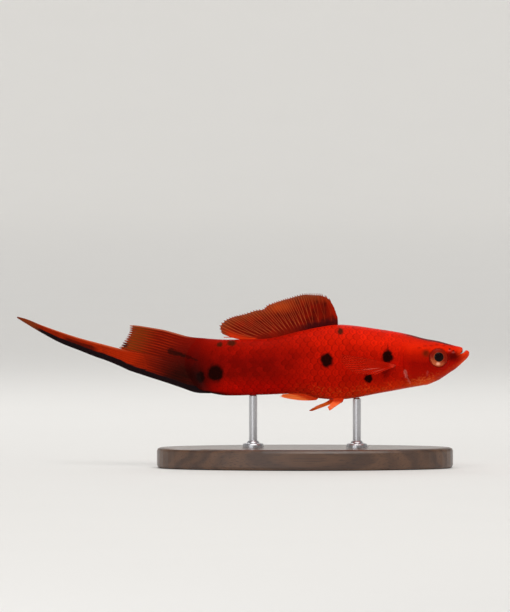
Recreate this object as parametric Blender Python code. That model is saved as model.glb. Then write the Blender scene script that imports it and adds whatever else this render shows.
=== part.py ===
# A life-size male swordtail, swimming, held over a display stand by two rods.
# The file is in metres with +Z up. The fish faces +X, its left side is +Y, and the
# origin is the middle of the stand's underside.
#
# Lengths below are in millimetres. For the fish, "back" is the distance behind the tip
# of the lower lip as the side view shows it, "up" is the height above the body line,
# and "side" is the distance to the left of the midline.
from math import pi

import bpy
import numpy as np

MM = 0.001
GAP = 0.3  # left between neighbouring pieces

# The stand, and the fish's place over it
BODY_LINE_UP = 26.0
LIP_TO_ORIGIN = 40.0
BASE_LENGTH = 72.0
BASE_WIDTH = 36.0
BASE_THICKNESS = 5.0
BASE_EDGE = 0.8
ROD_RADIUS = 1.0
ROD_BACKS = {"front": 27.4, "rear": 52.6}

# The tail's turn to the left, seen from above
BEND_FROM = 41.0
BEND_SLOPE = 0.28
BEND_SOFTNESS = 30.0

# Stations of the body: back, top and bottom of the outline, height of the widest
# point, half width, and how full the section is above and below it (2 is an ellipse).
# The widest point of the snout is the line of the mouth.
BODY = np.array([
    (0.0, 2.15, 1.30, 1.80, 0.45, 2.0, 2.0),
    (0.9, 2.55, 0.35, 2.02, 1.25, 2.0, 2.0),
    (1.5, 2.05, -0.25, 1.96, 1.50, 2.0, 2.0),
    (1.8, 3.14, -0.55, 1.86, 1.60, 2.3, 2.0),
    (3.3, 3.50, -1.85, 1.10, 2.05, 2.5, 2.0),
    (7.5, 4.60, -4.60, 0.60, 3.35, 2.8, 2.1),
    (11.0, 5.25, -5.88, 0.20, 4.05, 2.5, 2.0),
    (15.0, 6.30, -6.60, -0.20, 4.60, 2.1, 2.0),
    (21.0, 7.38, -7.70, -0.50, 4.95, 1.95, 2.0),
    (32.2, 8.80, -9.40, -0.80, 5.05, 1.9, 2.1),
    (36.8, 8.28, -9.10, -1.00, 4.85, 1.9, 2.1),
    (41.2, 7.35, -7.92, -1.10, 4.35, 1.9, 2.0),
    (49.7, 5.50, -8.20, -1.40, 3.50, 1.9, 1.9),
    (58.7, 5.22, -8.10, -1.50, 2.75, 1.9, 1.9),
    (64.0, 5.55, -7.32, -1.10, 2.10, 1.9, 1.9),
    (67.8, 5.95, -6.35, -0.80, 0.85, 1.9, 1.9),
])
BODY_COLUMNS = 40
CAP_RINGS = 3
BOW_STEPS = 5  # a bowed ring settles on its curve in a few steps

# The snout and the mouth
SNOUT_ROUNDNESS = 2.2
SNOUT_LENGTH = 3.2
MOUTH_FROM, MOUTH_CORNER = 1.5, 3.3
MOUTH_GROOVE = 0.45
LIP_SWELL = 0.10
LIP_AT, LIP_WIDTH = 0.32, 0.14

# The gill cover ends the head, and the body is parted again behind the belly
GILL_BACK = 16.2
GILL_BOW, GILL_BOW_MIDDLE, GILL_BOW_SPREAD = 2.5, -1.2, 4.5
GILL_COVER_RISE = 0.16
TAIL_BACK = 47.0
FORK_BACK = 67.5
FORK_BOW, FORK_BOW_MIDDLE, FORK_BOW_SPREAD = 3.0, -0.7, 6.4

# The eyes and nostrils
EYE_BACK, EYE_UP, EYE_SIDE = 7.48, 0.78, 2.45
EYE_RADIUS, EYE_DEPTH = 2.65, 1.35
NOSTRIL_BACK, NOSTRIL_UP, NOSTRIL_RADIUS = 4.6, 2.65, 0.34

# Fins: each outline is a row of (share of the fin's base, back, up) for its ray tips
DORSAL_BASE = (32.0, 56.2)
DORSAL_RAYS = 14
DORSAL_TIPS = np.array([
    (0.0, 32.1, 10.7),
    (0.035, 33.5, 13.8),
    (0.08, 34.7, 15.4),
    (0.15, 36.7, 16.5),
    (0.28, 39.6, 16.65),
    (0.42, 43.9, 15.5),
    (0.6, 49.0, 13.8),
    (0.72, 53.0, 12.0),
    (0.84, 57.6, 10.8),
    (0.93, 60.4, 8.9),
    (1.0, 60.0, 6.5),
])
CAUDAL_RAYS = 16
CAUDAL_TIPS = np.array([
    (0.0, 82.3, 9.2),
    (0.1, 82.5, 7.7),
    (0.25, 83.3, 5.8),
    (0.42, 84.2, 4.0),
    (0.52, 83.4, 2.9),
    (0.58, 82.3, 2.2),
    (1.0, 82.3, -2.4),
])
SWORD_TOP = np.array([
    (82.6, 2.2), (88.5, 3.6), (94.3, 5.1), (101.1, 7.4), (106.0, 9.2), (110.3, 10.8),
])
SWORD_BOTTOM = np.array([
    (82.6, -2.3), (88.5, 0.2), (93.2, 1.8), (100.2, 4.8), (106.0, 8.1), (110.3, 10.45),
])
SWORD_RAYS = 5
PECTORAL_ROOT = ((18.4, -0.5), (18.8, -2.1))
PECTORAL_RAYS = 12
PECTORAL_TIPS = np.array([
    (0.0, 31.4, 2.0), (0.3, 31.5, 0.3), (0.55, 30.2, -1.5), (0.8, 26.8, -2.9), (1.0, 22.8, -3.1),
])
PECTORAL_STANDS_OFF, PECTORAL_FLARE = 0.95, 2.3
PELVIC_RAYS = 5
PELVIC_SIDE = 1.3
PELVIC_ROOTS = {"right": (30.4, 33.0), "left": (31.2, 33.8)}
PELVIC_TIPS = {
    "right": np.array([(0.0, 34.1, -11.9), (1.0, 34.5, -11.1)]),
    "left": np.array([(0.0, 38.4, -12.3), (0.5, 39.0, -12.2), (1.0, 37.6, -11.3)]),
}
PELVIC_SPLAY = {"right": 3.2, "left": 2.0}
ANAL_ROOT = (36.4, 40.4)
ANAL_RAYS = 5
ANAL_TIPS = np.array([(0.0, 45.2, -9.25), (0.5, 46.1, -8.80), (1.0, 45.2, -8.36)])
ANAL_SAG = 0.4

# How thick the fins are, and how far their edges fray between the rays
MEMBRANE = 0.5
RAY_RIDGE = 0.32
RAY_WIDTH = 0.16
FIN_FORK = 0.45
FIN_TIP = 0.3

# Colours and finishes: linear colour, metallic, roughness
FINISHES = {
    "skin": ((0.62, 0.02, 0.008), 0.0, 0.35),
    "fin": ((0.40, 0.035, 0.01), 0.0, 0.45),
    "eye": ((0.55, 0.20, 0.04), 0.0, 0.10),
    "stand_wood": ((0.07, 0.03, 0.015), 0.0, 0.45),
    "stand_rod": ((0.45, 0.45, 0.46), 1.0, 0.30),
}


def smooth_curve(knots, at):
    # Reads a smooth curve through the knots, whose first column is the parameter. Its
    # slope at a knot is the harmonic mean of the slopes on both sides, so it never
    # swings past them.
    knots = np.asarray(knots, float)
    t, values = knots[:, 0], knots[:, 1:]
    step = np.diff(t)[:, None]
    rise = np.diff(values, axis=0) / step
    slope = np.zeros_like(values)
    slope[0], slope[-1] = rise[0], rise[-1]
    before, after = rise[:-1], rise[1:]
    same_way = before * after > 0
    total = np.where(same_way, before + after, 1.0)
    slope[1:-1] = np.where(same_way, 2 * before * after / total, 0.0)
    at = np.clip(np.asarray(at, float), t[0], t[-1])
    i = np.clip(np.searchsorted(t, at, side="right") - 1, 0, len(t) - 2)
    h = step[i]
    f = (at - t[i])[..., None] / h
    return (
        values[i] * (1 + 2 * f) * (1 - f) ** 2
        + slope[i] * h * f * (1 - f) ** 2
        + values[i + 1] * f**2 * (3 - 2 * f)
        + slope[i + 1] * h * f**2 * (f - 1)
    )


def ease(value, start, end):
    # Goes smoothly from 0 at start to 1 at end.
    t = np.clip((value - start) / (end - start), 0, 1)
    return t * t * (3 - 2 * t)


def bell(value, middle, width):
    return np.exp(-(((value - middle) / width) ** 2))


def posed(back, side, up):
    # Places points of the straight fish in the model: each cross-section is moved to
    # the left and turned square to the bent body line.
    behind = np.maximum(back - BEND_FROM, 0)
    reach = np.hypot(behind, BEND_SOFTNESS)
    turn = np.arctan(BEND_SLOPE * behind / reach)
    x = LIP_TO_ORIGIN - back + side * np.sin(turn)
    y = BEND_SLOPE * (reach - BEND_SOFTNESS) + side * np.cos(turn)
    return np.stack(np.broadcast_arrays(x, y, up + BODY_LINE_UP), -1) * MM


def body_surface(back, angle):
    # The side and height of the skin. The angle is 0 at the widest point of the left
    # side and a quarter turn on the back. The mouth's groove runs along angle 0 and pi.
    top, bottom, widest, half, above, below = np.moveaxis(smooth_curve(BODY, back), -1, 0)
    cos, sin = np.cos(angle), np.sin(angle)
    power = 2 / np.where(sin >= 0, above, below)
    reach = np.where(sin >= 0, top - widest, widest - bottom)
    up = widest + np.sign(sin) * reach * np.abs(sin) ** power
    side = np.sign(cos) * half * np.abs(cos) ** power
    off_mouth = np.abs(np.arcsin(np.clip(sin, -1, 1)))
    open_mouth = ease(back, MOUTH_FROM - 0.2, MOUTH_FROM + 0.2)
    open_mouth = open_mouth * (1 - ease(back, MOUTH_FROM + 0.6, MOUTH_CORNER))
    lips = 1 - ease(back, MOUTH_FROM + 0.6, MOUTH_CORNER + 0.4)
    change = lips * LIP_SWELL * bell(off_mouth, LIP_AT, LIP_WIDTH)
    change = change - open_mouth * MOUTH_GROOVE * bell(off_mouth, 0, 0.12)
    return side + np.sign(cos) * change * (np.abs(cos) > 0.2), up


def snout_rounding(back, side):
    # How far the snout's sides fall back from its tip.
    return side**2 / (2 * SNOUT_ROUNDNESS) * np.exp(-((back / SNOUT_LENGTH) ** 2))


def gill_bow(up):
    # The gill cover's rear edge falls forward above and below its middle.
    return -GILL_BOW * (1 - bell(up, GILL_BOW_MIDDLE, GILL_BOW_SPREAD))


def fork_bow(up):
    # The caudal fin's base is an arc.
    return -FORK_BOW * ((up - FORK_BOW_MIDDLE) / FORK_BOW_SPREAD) ** 2


def no_bow(up):
    return 0 * up


def body_angles():
    # Columns round the body, closer together beside the mouth.
    quarter = BODY_COLUMNS // 4
    share = np.arange(quarter) / quarter
    near = np.pi / 2 * share**1.35
    right = np.concatenate([near, pi - near[::-1]])[:-1]
    right = np.insert(right, quarter, pi / 2)
    return np.concatenate([right, right + pi])


def ring(back, bow, weight, scale=1.0, rise=0.0):
    # One ring of skin. It is bowed by its height, and a scale under 1 shrinks it to
    # its middle for a cap.
    angle = body_angles()
    place = back + 0 * angle
    for _ in range(BOW_STEPS):
        side, up = body_surface(place, angle)
        place = back + weight * bow(up)
    side = side * (1 + rise)
    middle = (up.max() + up.min()) / 2
    up = middle + (up - middle) * scale
    side = side * scale
    if scale < 1:
        place = back + weight * bow(up)
    place = place + snout_rounding(place, side)
    return posed(place, side, up)


def cap(back, bow, rise=0.0):
    # The rings that close a body piece, from its middle out to its rim.
    return [ring(back, bow, 1.0, k / CAP_RINGS, rise) for k in range(1, CAP_RINGS)]


def closed_loft(name, rings, finish):
    # A closed mesh over a row of rings, with a fan of triangles over each end.
    rings = np.array(rings)
    count, columns = rings.shape[:2]
    points = np.concatenate([rings.reshape(-1, 3), rings[0].mean(0)[None], rings[-1].mean(0)[None]])
    first, last = count * columns, count * columns + 1
    index = np.arange(count * columns).reshape(count, columns)
    beside = np.roll(index, -1, axis=1)
    sides = np.stack([index[:-1], index[1:], beside[1:], beside[:-1]], -1).reshape(-1, 4)
    front = np.stack([np.full(columns, first), index[0], beside[0]], -1)
    rear = np.stack([np.full(columns, last), beside[-1], index[-1]], -1)
    faces = sides.tolist() + front.tolist() + rear.tolist()
    return mesh_object(name, points, faces, finish)


def mesh_object(name, points, faces, finish):
    mesh = bpy.data.meshes.new(name)
    mesh.from_pydata(np.asarray(points).tolist(), [], faces)
    mesh.shade_smooth()
    made = bpy.data.objects.new(name, mesh)
    bpy.context.scene.collection.objects.link(made)
    if finish:
        made.data.materials.append(finished(finish))
    return made


def finished(name):
    # The material for a finish, made once.
    if name in bpy.data.materials:
        return bpy.data.materials[name]
    colour, metallic, roughness = FINISHES[name]
    material = bpy.data.materials.new(name)
    material.use_nodes = True
    shader = material.node_tree.nodes["Principled BSDF"]
    shader.inputs["Base Color"].default_value = (*colour, 1)
    shader.inputs["Metallic"].default_value = metallic
    shader.inputs["Roughness"].default_value = roughness
    return material


def ellipsoid(name, centre, radii, segments, finish=None):
    bpy.ops.mesh.primitive_uv_sphere_add(
        segments=segments, ring_count=segments // 2, radius=1, rotation=(pi / 2, 0, 0)
    )
    made = bpy.context.object
    made.name = name
    bpy.ops.object.transform_apply(location=False, rotation=True, scale=False)
    made.scale = [r * MM for r in radii]
    bpy.ops.object.transform_apply(location=False, rotation=False, scale=True)
    made.location = centre
    made.data.shade_smooth()
    if finish:
        made.data.materials.append(finished(finish))
    return made


def cut(piece, cutter):
    cutter.hide_render = True
    cutter.display_type = "WIRE"
    boolean = piece.modifiers.new(cutter.name, "BOOLEAN")
    boolean.operation = "DIFFERENCE"
    boolean.object = cutter


def make_head():
    lower_lip = np.linspace(0.0, 1.3, 6)
    notch = np.linspace(1.45, 1.85, 5)
    rest = np.geomspace(2.1, GILL_BACK, 16)
    rings = []
    for back in [*lower_lip, *notch, *rest]:
        weight = ease(back, GILL_BACK - 6, GILL_BACK)
        rise = GILL_COVER_RISE / 4.6 * ease(back, GILL_BACK - 5, GILL_BACK - 0.5)
        rings.append(ring(back, gill_bow, weight, 1.0, rise))
    rise = GILL_COVER_RISE / 4.6
    rings += cap(GILL_BACK, gill_bow, rise)[::-1]
    head = closed_loft("head", rings, "skin")
    for side, sign in (("left", 1), ("right", -1)):
        centre = posed(EYE_BACK, sign * EYE_SIDE, EYE_UP)
        socket = (EYE_RADIUS + GAP, EYE_DEPTH + GAP, EYE_RADIUS + GAP)
        cut(head, ellipsoid(f"eye_socket_{side}", centre, socket, 28))
        eyeball = (EYE_RADIUS, EYE_DEPTH, EYE_RADIUS)
        ellipsoid(f"eye_{side}", centre, eyeball, 20, "eye")
        nostril_side = sign * skin_side(NOSTRIL_BACK, NOSTRIL_UP)
        centre = posed(NOSTRIL_BACK, nostril_side, NOSTRIL_UP)
        cut(head, ellipsoid(f"nostril_pit_{side}", centre, (NOSTRIL_RADIUS,) * 3, 10))


def make_torso():
    backs = np.linspace(GILL_BACK + GAP, TAIL_BACK, 22)
    rings = cap(backs[0], gill_bow)
    rings += [ring(back, gill_bow, 1 - ease(back, backs[0], GILL_BACK + 7)) for back in backs]
    rings += cap(TAIL_BACK, no_bow)[::-1]
    closed_loft("torso", rings, "skin")


def make_tail_peduncle():
    backs = np.linspace(TAIL_BACK + GAP, FORK_BACK, 14)
    rings = cap(backs[0], no_bow)
    rings += [ring(back, fork_bow, ease(back, TAIL_BACK + 4, FORK_BACK)) for back in backs]
    rings += cap(FORK_BACK, fork_bow)[::-1]
    closed_loft("tail_peduncle", rings, "skin")


def skin_side(back, up):
    # The half width of the body at a height.
    top, bottom, widest, half, above, below = np.moveaxis(smooth_curve(BODY, back), -1, 0)
    power = np.where(up >= widest, above, below)
    reach = np.where(up >= widest, top - widest, widest - bottom)
    off = np.clip(np.abs(up - widest) / reach, 0, 1)
    return half * (1 - off**power) ** (1 / power)


def skin_bottom(back, side):
    # The height of the belly at a distance from the midline.
    _, bottom, widest, half, _, below = np.moveaxis(smooth_curve(BODY, back), -1, 0)
    return widest - (widest - bottom) * (1 - np.abs(side / half) ** below) ** (1 / below)


def fin_grid(rays, columns_per_ray, rows, forked=True):
    # Shares along the base and along the rays, and how much of a ray's ridge is at
    # each point: one ridge a ray, which parts in two past the fork.
    columns = (rays - 1) * columns_per_ray + 1
    u, v = np.meshgrid(np.linspace(0, 1, columns), np.linspace(0, 1, rows))
    ray = u * (rays - 1)
    off = np.abs(ray - np.round(ray))
    spread = 0.25 * ease(v, FIN_FORK, FIN_FORK + 0.25) if forked else 0
    return u, v, bell(off, spread, RAY_WIDTH)


def frayed(v, ridge, fray):
    # Draws the edge in between the rays.
    return v * (1 - fray * (1 - ridge[-1]) * v**3)


def fin_thickness(v, ridge, root):
    # The membrane is thick at its root and thin at its edge, with the rays raised.
    skin = MEMBRANE + (root - MEMBRANE) * (1 - ease(v, 0, 0.22))
    skin = skin + RAY_RIDGE * ridge
    return skin + (FIN_TIP - MEMBRANE - RAY_RIDGE * ridge) * ease(v, 0.8, 1.0)


def make_fin(name, points, thickness):
    # A sheet of triangles with Solidify, whose thickness follows a vertex group.
    rows, columns = thickness.shape
    index = np.arange(rows * columns).reshape(rows, columns)
    a, b, c, d = index[:-1, :-1], index[1:, :-1], index[1:, 1:], index[:-1, 1:]
    faces = np.concatenate([np.stack([a, b, c], -1), np.stack([a, c, d], -1)])
    fin = mesh_object(name, points.reshape(-1, 3), faces.reshape(-1, 3).tolist(), "fin")
    thickest = float(thickness.max())
    group = fin.vertex_groups.new(name="thickness")
    for vertex, share in enumerate(thickness.ravel() / thickest):
        group.add([vertex], float(share), "REPLACE")
    solidify = fin.modifiers.new("Solidify", "SOLIDIFY")
    solidify.thickness = thickest * MM
    solidify.offset = 0
    solidify.vertex_group = group.name
    return fin


def make_dorsal_fin():
    u, v, ridge = fin_grid(DORSAL_RAYS, 4, 10)
    along = frayed(v, ridge, 0.06)
    root_back = DORSAL_BASE[0] + (DORSAL_BASE[1] - DORSAL_BASE[0]) * u
    root_up = smooth_curve(BODY, root_back)[..., 0] + GAP
    tip_back, tip_up = np.moveaxis(smooth_curve(DORSAL_TIPS, u), -1, 0)
    back = root_back + (tip_back - root_back) * along**1.08
    up = root_up + (tip_up - root_up) * along
    side = 0.25 * np.sin(2 * pi * (u * 1.6 + 0.1)) * v**2
    make_fin("dorsal_fin", posed(back, side, up), fin_thickness(v, ridge, 0.9))


def make_caudal_fin():
    u, v, ridge = fin_grid(CAUDAL_RAYS, 4, 10)
    on_sword = ease(u, 0.54, 0.60)
    along = frayed(v, ridge * (1 - on_sword) + on_sword, 0.05)
    top, bottom = fork_ends()
    root_up = top + (bottom - top) * u
    root_back = FORK_BACK + GAP + fork_bow(root_up)
    tip_back, tip_up = np.moveaxis(smooth_curve(CAUDAL_TIPS, u), -1, 0)
    back = root_back + (tip_back - root_back) * along
    up = root_up + (tip_up - root_up) * along
    side = 0.3 * np.sin(pi * u) * v**2 * (1 - on_sword)
    root = np.maximum(1.8 * skin_side(root_back, root_up), MEMBRANE + 0.1)
    thickness = fin_thickness(v, ridge, root)
    kept = MEMBRANE + 0.2 + RAY_RIDGE * ridge
    thickness = np.where((v > 0.5) & (on_sword > 0.5), kept, thickness)
    make_fin("caudal_fin", posed(back, side, up), thickness)


def fork_ends():
    # The top and bottom of the tail's end, where the fin's root stops short of its edge.
    up = np.linspace(8, -10, 400)
    back = FORK_BACK + fork_bow(up)
    top, bottom = smooth_curve(BODY, back)[:, 0], smooth_curve(BODY, back)[:, 1]
    inside = up[(up < top) & (up > bottom)]
    return inside[0] - 0.1, inside[-1] + 0.1


def make_sword():
    u, v, ridge = fin_grid(SWORD_RAYS, 3, 24, forked=False)
    back = SWORD_TOP[0, 0] + (SWORD_TOP[-1, 0] - SWORD_TOP[0, 0]) * v
    top = smooth_curve(SWORD_TOP, back)[..., 0]
    bottom = smooth_curve(SWORD_BOTTOM, back)[..., 0]
    up = top + (bottom - top) * u
    thickness = (MEMBRANE + 0.2 + RAY_RIDGE * ridge) * (1 - ease(v, 0.3, 1.0))
    thickness = thickness + (MEMBRANE - 0.1) * ease(v, 0.3, 1.0)
    thickness = thickness * (1 - 0.3 * ease(v, 0.9, 1.0))
    make_fin("sword", posed(back, 0 * u, up), thickness)


def make_pectoral_fins():
    u, v, ridge = fin_grid(PECTORAL_RAYS, 2, 11, forked=False)
    along = frayed(v, ridge, 0.03)
    root = np.array(PECTORAL_ROOT)
    root_back, root_up = (root[0, i] + (root[1, i] - root[0, i]) * u for i in (0, 1))
    tip_back, tip_up = np.moveaxis(smooth_curve(PECTORAL_TIPS, u), -1, 0)
    back = root_back + (tip_back - root_back) * along**1.35
    up = root_up + (tip_up - root_up) * along**1.35
    off = GAP + PECTORAL_STANDS_OFF * (1 - np.exp(-v * 9)) + PECTORAL_FLARE * v
    side = skin_side(back, up) + off
    for name, sign in (("left", 1), ("right", -1)):
        points = posed(back, sign * side, up)
        make_fin(f"pectoral_fin_{name}", points, fin_thickness(v, ridge, 0.8))


def make_pelvic_fins():
    for name, sign in (("left", 1), ("right", -1)):
        u, v, ridge = fin_grid(PELVIC_RAYS, 3, 9, forked=False)
        front, rear = PELVIC_ROOTS[name]
        root_back = front + (rear - front) * u
        root_up = skin_bottom(root_back, PELVIC_SIDE) - GAP - 0.1
        tip_back, tip_up = np.moveaxis(smooth_curve(PELVIC_TIPS[name], u), -1, 0)
        back = root_back + (tip_back - root_back) * v
        up = root_up + (tip_up - root_up) * v
        side = sign * (PELVIC_SIDE + PELVIC_SPLAY[name] * v**1.4)
        thickness = fin_thickness(v, ridge, 0.9)
        make_fin(f"pelvic_fin_{name}", posed(back, side, up), thickness)


def make_anal_fin():
    u, v, ridge = fin_grid(ANAL_RAYS, 3, 12, forked=False)
    root_back = ANAL_ROOT[0] + (ANAL_ROOT[1] - ANAL_ROOT[0]) * u
    root_up = smooth_curve(BODY, root_back)[..., 1] - GAP
    tip_back, tip_up = np.moveaxis(smooth_curve(ANAL_TIPS, u), -1, 0)
    back = root_back + (tip_back - root_back) * v
    up = root_up + (tip_up - root_up) * v - ANAL_SAG * (1 - u) * np.sin(pi * v)
    make_fin("anal_fin", posed(back, 0 * u, up), fin_thickness(v, ridge, 0.9))


def make_stand():
    bpy.ops.mesh.primitive_cylinder_add(vertices=64, radius=0.5, depth=1)
    base = bpy.context.object
    base.name = "stand_base"
    base.scale = (BASE_LENGTH * MM, BASE_WIDTH * MM, BASE_THICKNESS * MM)
    bpy.ops.object.transform_apply(location=False, rotation=False, scale=True)
    base.location.z = BASE_THICKNESS * MM / 2
    bevel = base.modifiers.new("Bevel", "BEVEL")
    bevel.width = BASE_EDGE * MM
    bevel.segments = 2
    base.data.materials.append(finished("stand_wood"))
    base.data.shade_smooth()
    base.data.set_sharp_from_angle(angle=pi / 6)
    for name, back in ROD_BACKS.items():
        foot = (BASE_THICKNESS + GAP) * MM
        belly = smooth_curve(BODY, back)[1] - GAP
        top = posed(back, 0.0, belly)
        bpy.ops.mesh.primitive_cylinder_add(
            vertices=24, radius=ROD_RADIUS * MM, depth=top[2] - foot
        )
        rod = bpy.context.object
        rod.name = f"stand_rod_{name}"
        rod.location = (top[0], top[1], (top[2] + foot) / 2)
        rod.data.materials.append(finished("stand_rod"))
        rod.data.shade_smooth()
        rod.data.set_sharp_from_angle(angle=pi / 6)


def main():
    for old in list(bpy.data.objects):
        bpy.data.objects.remove(old)
    make_head()
    make_torso()
    make_tail_peduncle()
    make_dorsal_fin()
    make_caudal_fin()
    make_sword()
    make_pectoral_fins()
    make_pelvic_fins()
    make_anal_fin()
    make_stand()


main()
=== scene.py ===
# A life-size male swordtail, swimming, held over a display stand by two rods: its looks.
from collections import namedtuple
from math import cos, pi, radians, sin

import bpy
import numpy as np
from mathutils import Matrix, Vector


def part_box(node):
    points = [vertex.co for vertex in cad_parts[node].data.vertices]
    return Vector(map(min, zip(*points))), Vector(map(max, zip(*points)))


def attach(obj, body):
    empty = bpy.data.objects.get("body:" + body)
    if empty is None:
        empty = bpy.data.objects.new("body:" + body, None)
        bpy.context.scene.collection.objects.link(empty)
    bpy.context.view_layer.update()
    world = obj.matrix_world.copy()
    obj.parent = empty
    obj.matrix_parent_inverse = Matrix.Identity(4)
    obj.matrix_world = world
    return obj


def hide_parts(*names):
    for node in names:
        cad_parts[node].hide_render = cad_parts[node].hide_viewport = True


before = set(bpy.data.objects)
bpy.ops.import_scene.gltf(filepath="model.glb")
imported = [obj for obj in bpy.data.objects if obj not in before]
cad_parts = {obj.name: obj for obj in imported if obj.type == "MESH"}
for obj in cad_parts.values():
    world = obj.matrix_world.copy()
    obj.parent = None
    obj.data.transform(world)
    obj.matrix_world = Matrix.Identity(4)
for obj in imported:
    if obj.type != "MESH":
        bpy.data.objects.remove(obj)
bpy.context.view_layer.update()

# Lengths are in millimetres until a mesh is made. "back" is the distance behind the lip,
# "up" the height above the body line, and "side" the distance to the left of the midline.
mm = 0.001
rng = np.random.default_rng(7)

eyeBack, eyeUp = 7.60, 0.83
pose = {
    "lip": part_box("head")[1][0] / mm,  # x of the tip of the lip
    "bodyLine": (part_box("eye_right")[0][2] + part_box("eye_right")[1][2]) / 2 / mm - 0.78,
    "bendFrom": 41.0,  # the tail turns to the left behind this
    "bendSlope": 0.28,
    "bendSoftness": 30.0,
}
sides = (("left", 1), ("right", -1))  # the names of a pair, and which way each one lies


def smoothCurve(knots, at):
    # A cubic through the knots, first column the parameter; the other columns come back as
    # arrays. The slope at a knot is the harmonic mean of the slopes beside it, so the curve
    # never swings past a knot.
    knots = np.asarray(knots, float)
    t, values = knots[:, 0], knots[:, 1:]
    step = np.diff(t)[:, None]
    rise = np.diff(values, axis=0) / step
    slope = np.zeros_like(values)
    slope[0], slope[-1] = rise[0], rise[-1]
    before, after = rise[:-1], rise[1:]
    sameWay = before * after > 0
    total = np.where(sameWay, before + after, 1.0)
    slope[1:-1] = np.where(sameWay, 2 * before * after / total, 0.0)
    at = np.clip(np.asarray(at, float), t[0], t[-1])
    i = np.clip(np.searchsorted(t, at, side="right") - 1, 0, len(t) - 2)
    h = step[i]
    f = (at - t[i])[..., None] / h
    near = values[i] * (1 + 2 * f) * (1 - f) ** 2 + slope[i] * h * f * (1 - f) ** 2
    far = values[i + 1] * f**2 * (3 - 2 * f) + slope[i + 1] * h * f**2 * (f - 1)
    return np.moveaxis(near + far, -1, 0)


def between(ends, share):
    # start + (end - start) share
    start, end = ends
    return start + (end - start) * share


def ease(value, start, end):
    # 0 at start to 1 at end along 3t^2 - 2t^3.
    t = np.clip((value - start) / (end - start), 0, 1)
    return t * t * (3 - 2 * t)


def bell(value, middle, width):
    # exp(-((value - middle) / width)^2)
    return np.exp(-(((value - middle) / width) ** 2))


def posed(back, side, up):
    # Straight fish to model, in metres: the body line is y = slope (hypot(behind, soft) - soft),
    # and each cross-section is turned square to it.
    behind = np.maximum(back - pose["bendFrom"], 0)
    reach = np.hypot(behind, pose["bendSoftness"])
    turn = np.arctan(pose["bendSlope"] * behind / reach)
    x = pose["lip"] - back + side * np.sin(turn)
    y = pose["bendSlope"] * (reach - pose["bendSoftness"]) + side * np.cos(turn)
    return np.stack(np.broadcast_arrays(x, y, up + pose["bodyLine"]), -1) * mm


# Meshes from whole arrays
def gridQuads(rows, columns, closed=False):
    # The four corners of each cell of a grid whose vertices are numbered row by row.
    index = np.arange(rows * columns).reshape(rows, columns)
    beside = np.roll(index, -1, axis=1)
    quads = np.stack([index[:-1], beside[:-1], beside[1:], index[1:]], -1)
    return (quads if closed else quads[:, :-1]).reshape(-1, 4)


def addObject(name, data):
    made = bpy.data.objects.new(name, data)
    bpy.context.scene.collection.objects.link(made)
    return made


def volumeOf(points, faces):
    # A sixth of the sum of a . (b x c) over the triangles.
    a, b, c = points[faces[:, 0]], points[faces[:, 1]], points[faces[:, 2]]
    total = np.einsum("ij,ij->", a, np.cross(b, c))
    if faces.shape[1] == 4:
        total += np.einsum("ij,ij->", a, np.cross(c, points[faces[:, 3]]))
    return total / 6


def makeMesh(name, points, quads, fans=None, marks=None):
    # One closed mesh with its faces turned outwards; marks are values kept on its vertices.
    points = np.asarray(points, float).reshape(-1, 3)
    groups = [quads] if fans is None else [quads, fans]
    centred = points - points.mean(0)
    if sum(volumeOf(centred, group) for group in groups) < 0:
        groups = [group[:, ::-1] for group in groups]
    mesh = bpy.data.meshes.new(name)
    mesh.from_pydata(points.tolist(), [], [face for group in groups for face in group.tolist()])
    for key, values in (marks or {}).items():
        data = values.astype(np.float32)
        mesh.attributes.new(key, "FLOAT", "POINT").data.foreach_set("value", data)
    mesh.shade_smooth()
    return addObject(name, mesh)


def normalsOf(grid, closed=False):
    # The cross product of the grid's two directions, at length 1.
    along = np.gradient(grid, axis=0)
    if closed:
        across = np.roll(grid, -1, axis=1) - np.roll(grid, 1, axis=1)
    else:
        across = np.gradient(grid, axis=1)
    normal = np.cross(along, across)
    return normal / np.maximum(np.linalg.norm(normal, axis=-1, keepdims=True), 1e-12)


def sheetQuads(rows, columns):
    # The faces of a sheet: the front, the back numbered after it, and walls at the rim.
    count = rows * columns
    front = gridQuads(rows, columns)
    index = np.arange(count).reshape(rows, columns)
    rim = np.concatenate([index[0, :-1], index[:-1, -1], index[-1, :0:-1], index[:0:-1, 0]])
    after = np.roll(rim, -1)
    walls = np.stack([after, rim, rim + count, after + count], -1)
    return np.concatenate([front, front[:, ::-1] + count, walls])


def sheetShell(middle, thickness):
    # A closed sheet: middle +- normal * thickness / 2.
    offset = normalsOf(middle) * (thickness * mm / 2)[..., None]
    points = np.stack([middle + offset, middle - offset]).reshape(-1, 3)
    return points, sheetQuads(*thickness.shape)


def turned(radius, height, around):
    # A profile carried round an axis: (r cos, r sin, height).
    turn = np.arange(around) / around * 2 * pi
    x, y = radius[:, None] * np.cos(turn), radius[:, None] * np.sin(turn)
    return np.stack(np.broadcast_arrays(x, y, height[:, None]), -1)


def capped(grid):
    # A closed grid's points, quads and fans, one fan to the middle of each end's ring.
    rows, columns = grid.shape[:2]
    points = np.concatenate([grid.reshape(-1, 3), [grid[0].mean(0), grid[-1].mean(0)]])
    first, middle = np.arange(columns), np.full(columns, rows * columns)
    last = first + middle - columns
    fans = [np.stack([middle, np.roll(first, -1), first], -1),
            np.stack([middle + 1, last, np.roll(last, -1)], -1)]
    return points, gridQuads(rows, columns, closed=True), np.concatenate(fans)


def put(piece, replaced, material):
    piece.data.materials.append(material)
    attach(piece, "root")
    if replaced:
        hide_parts(*replaced)
    print(f"{piece.name}: {len(piece.data.polygons)} faces")
    return piece


# Materials: a socket with its operators, and one maker of nodes
def operator(operation, swapped=False):  # one operator of a wire
    return lambda wire, other: wire.maths(operation, other, swapped=swapped)


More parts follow.
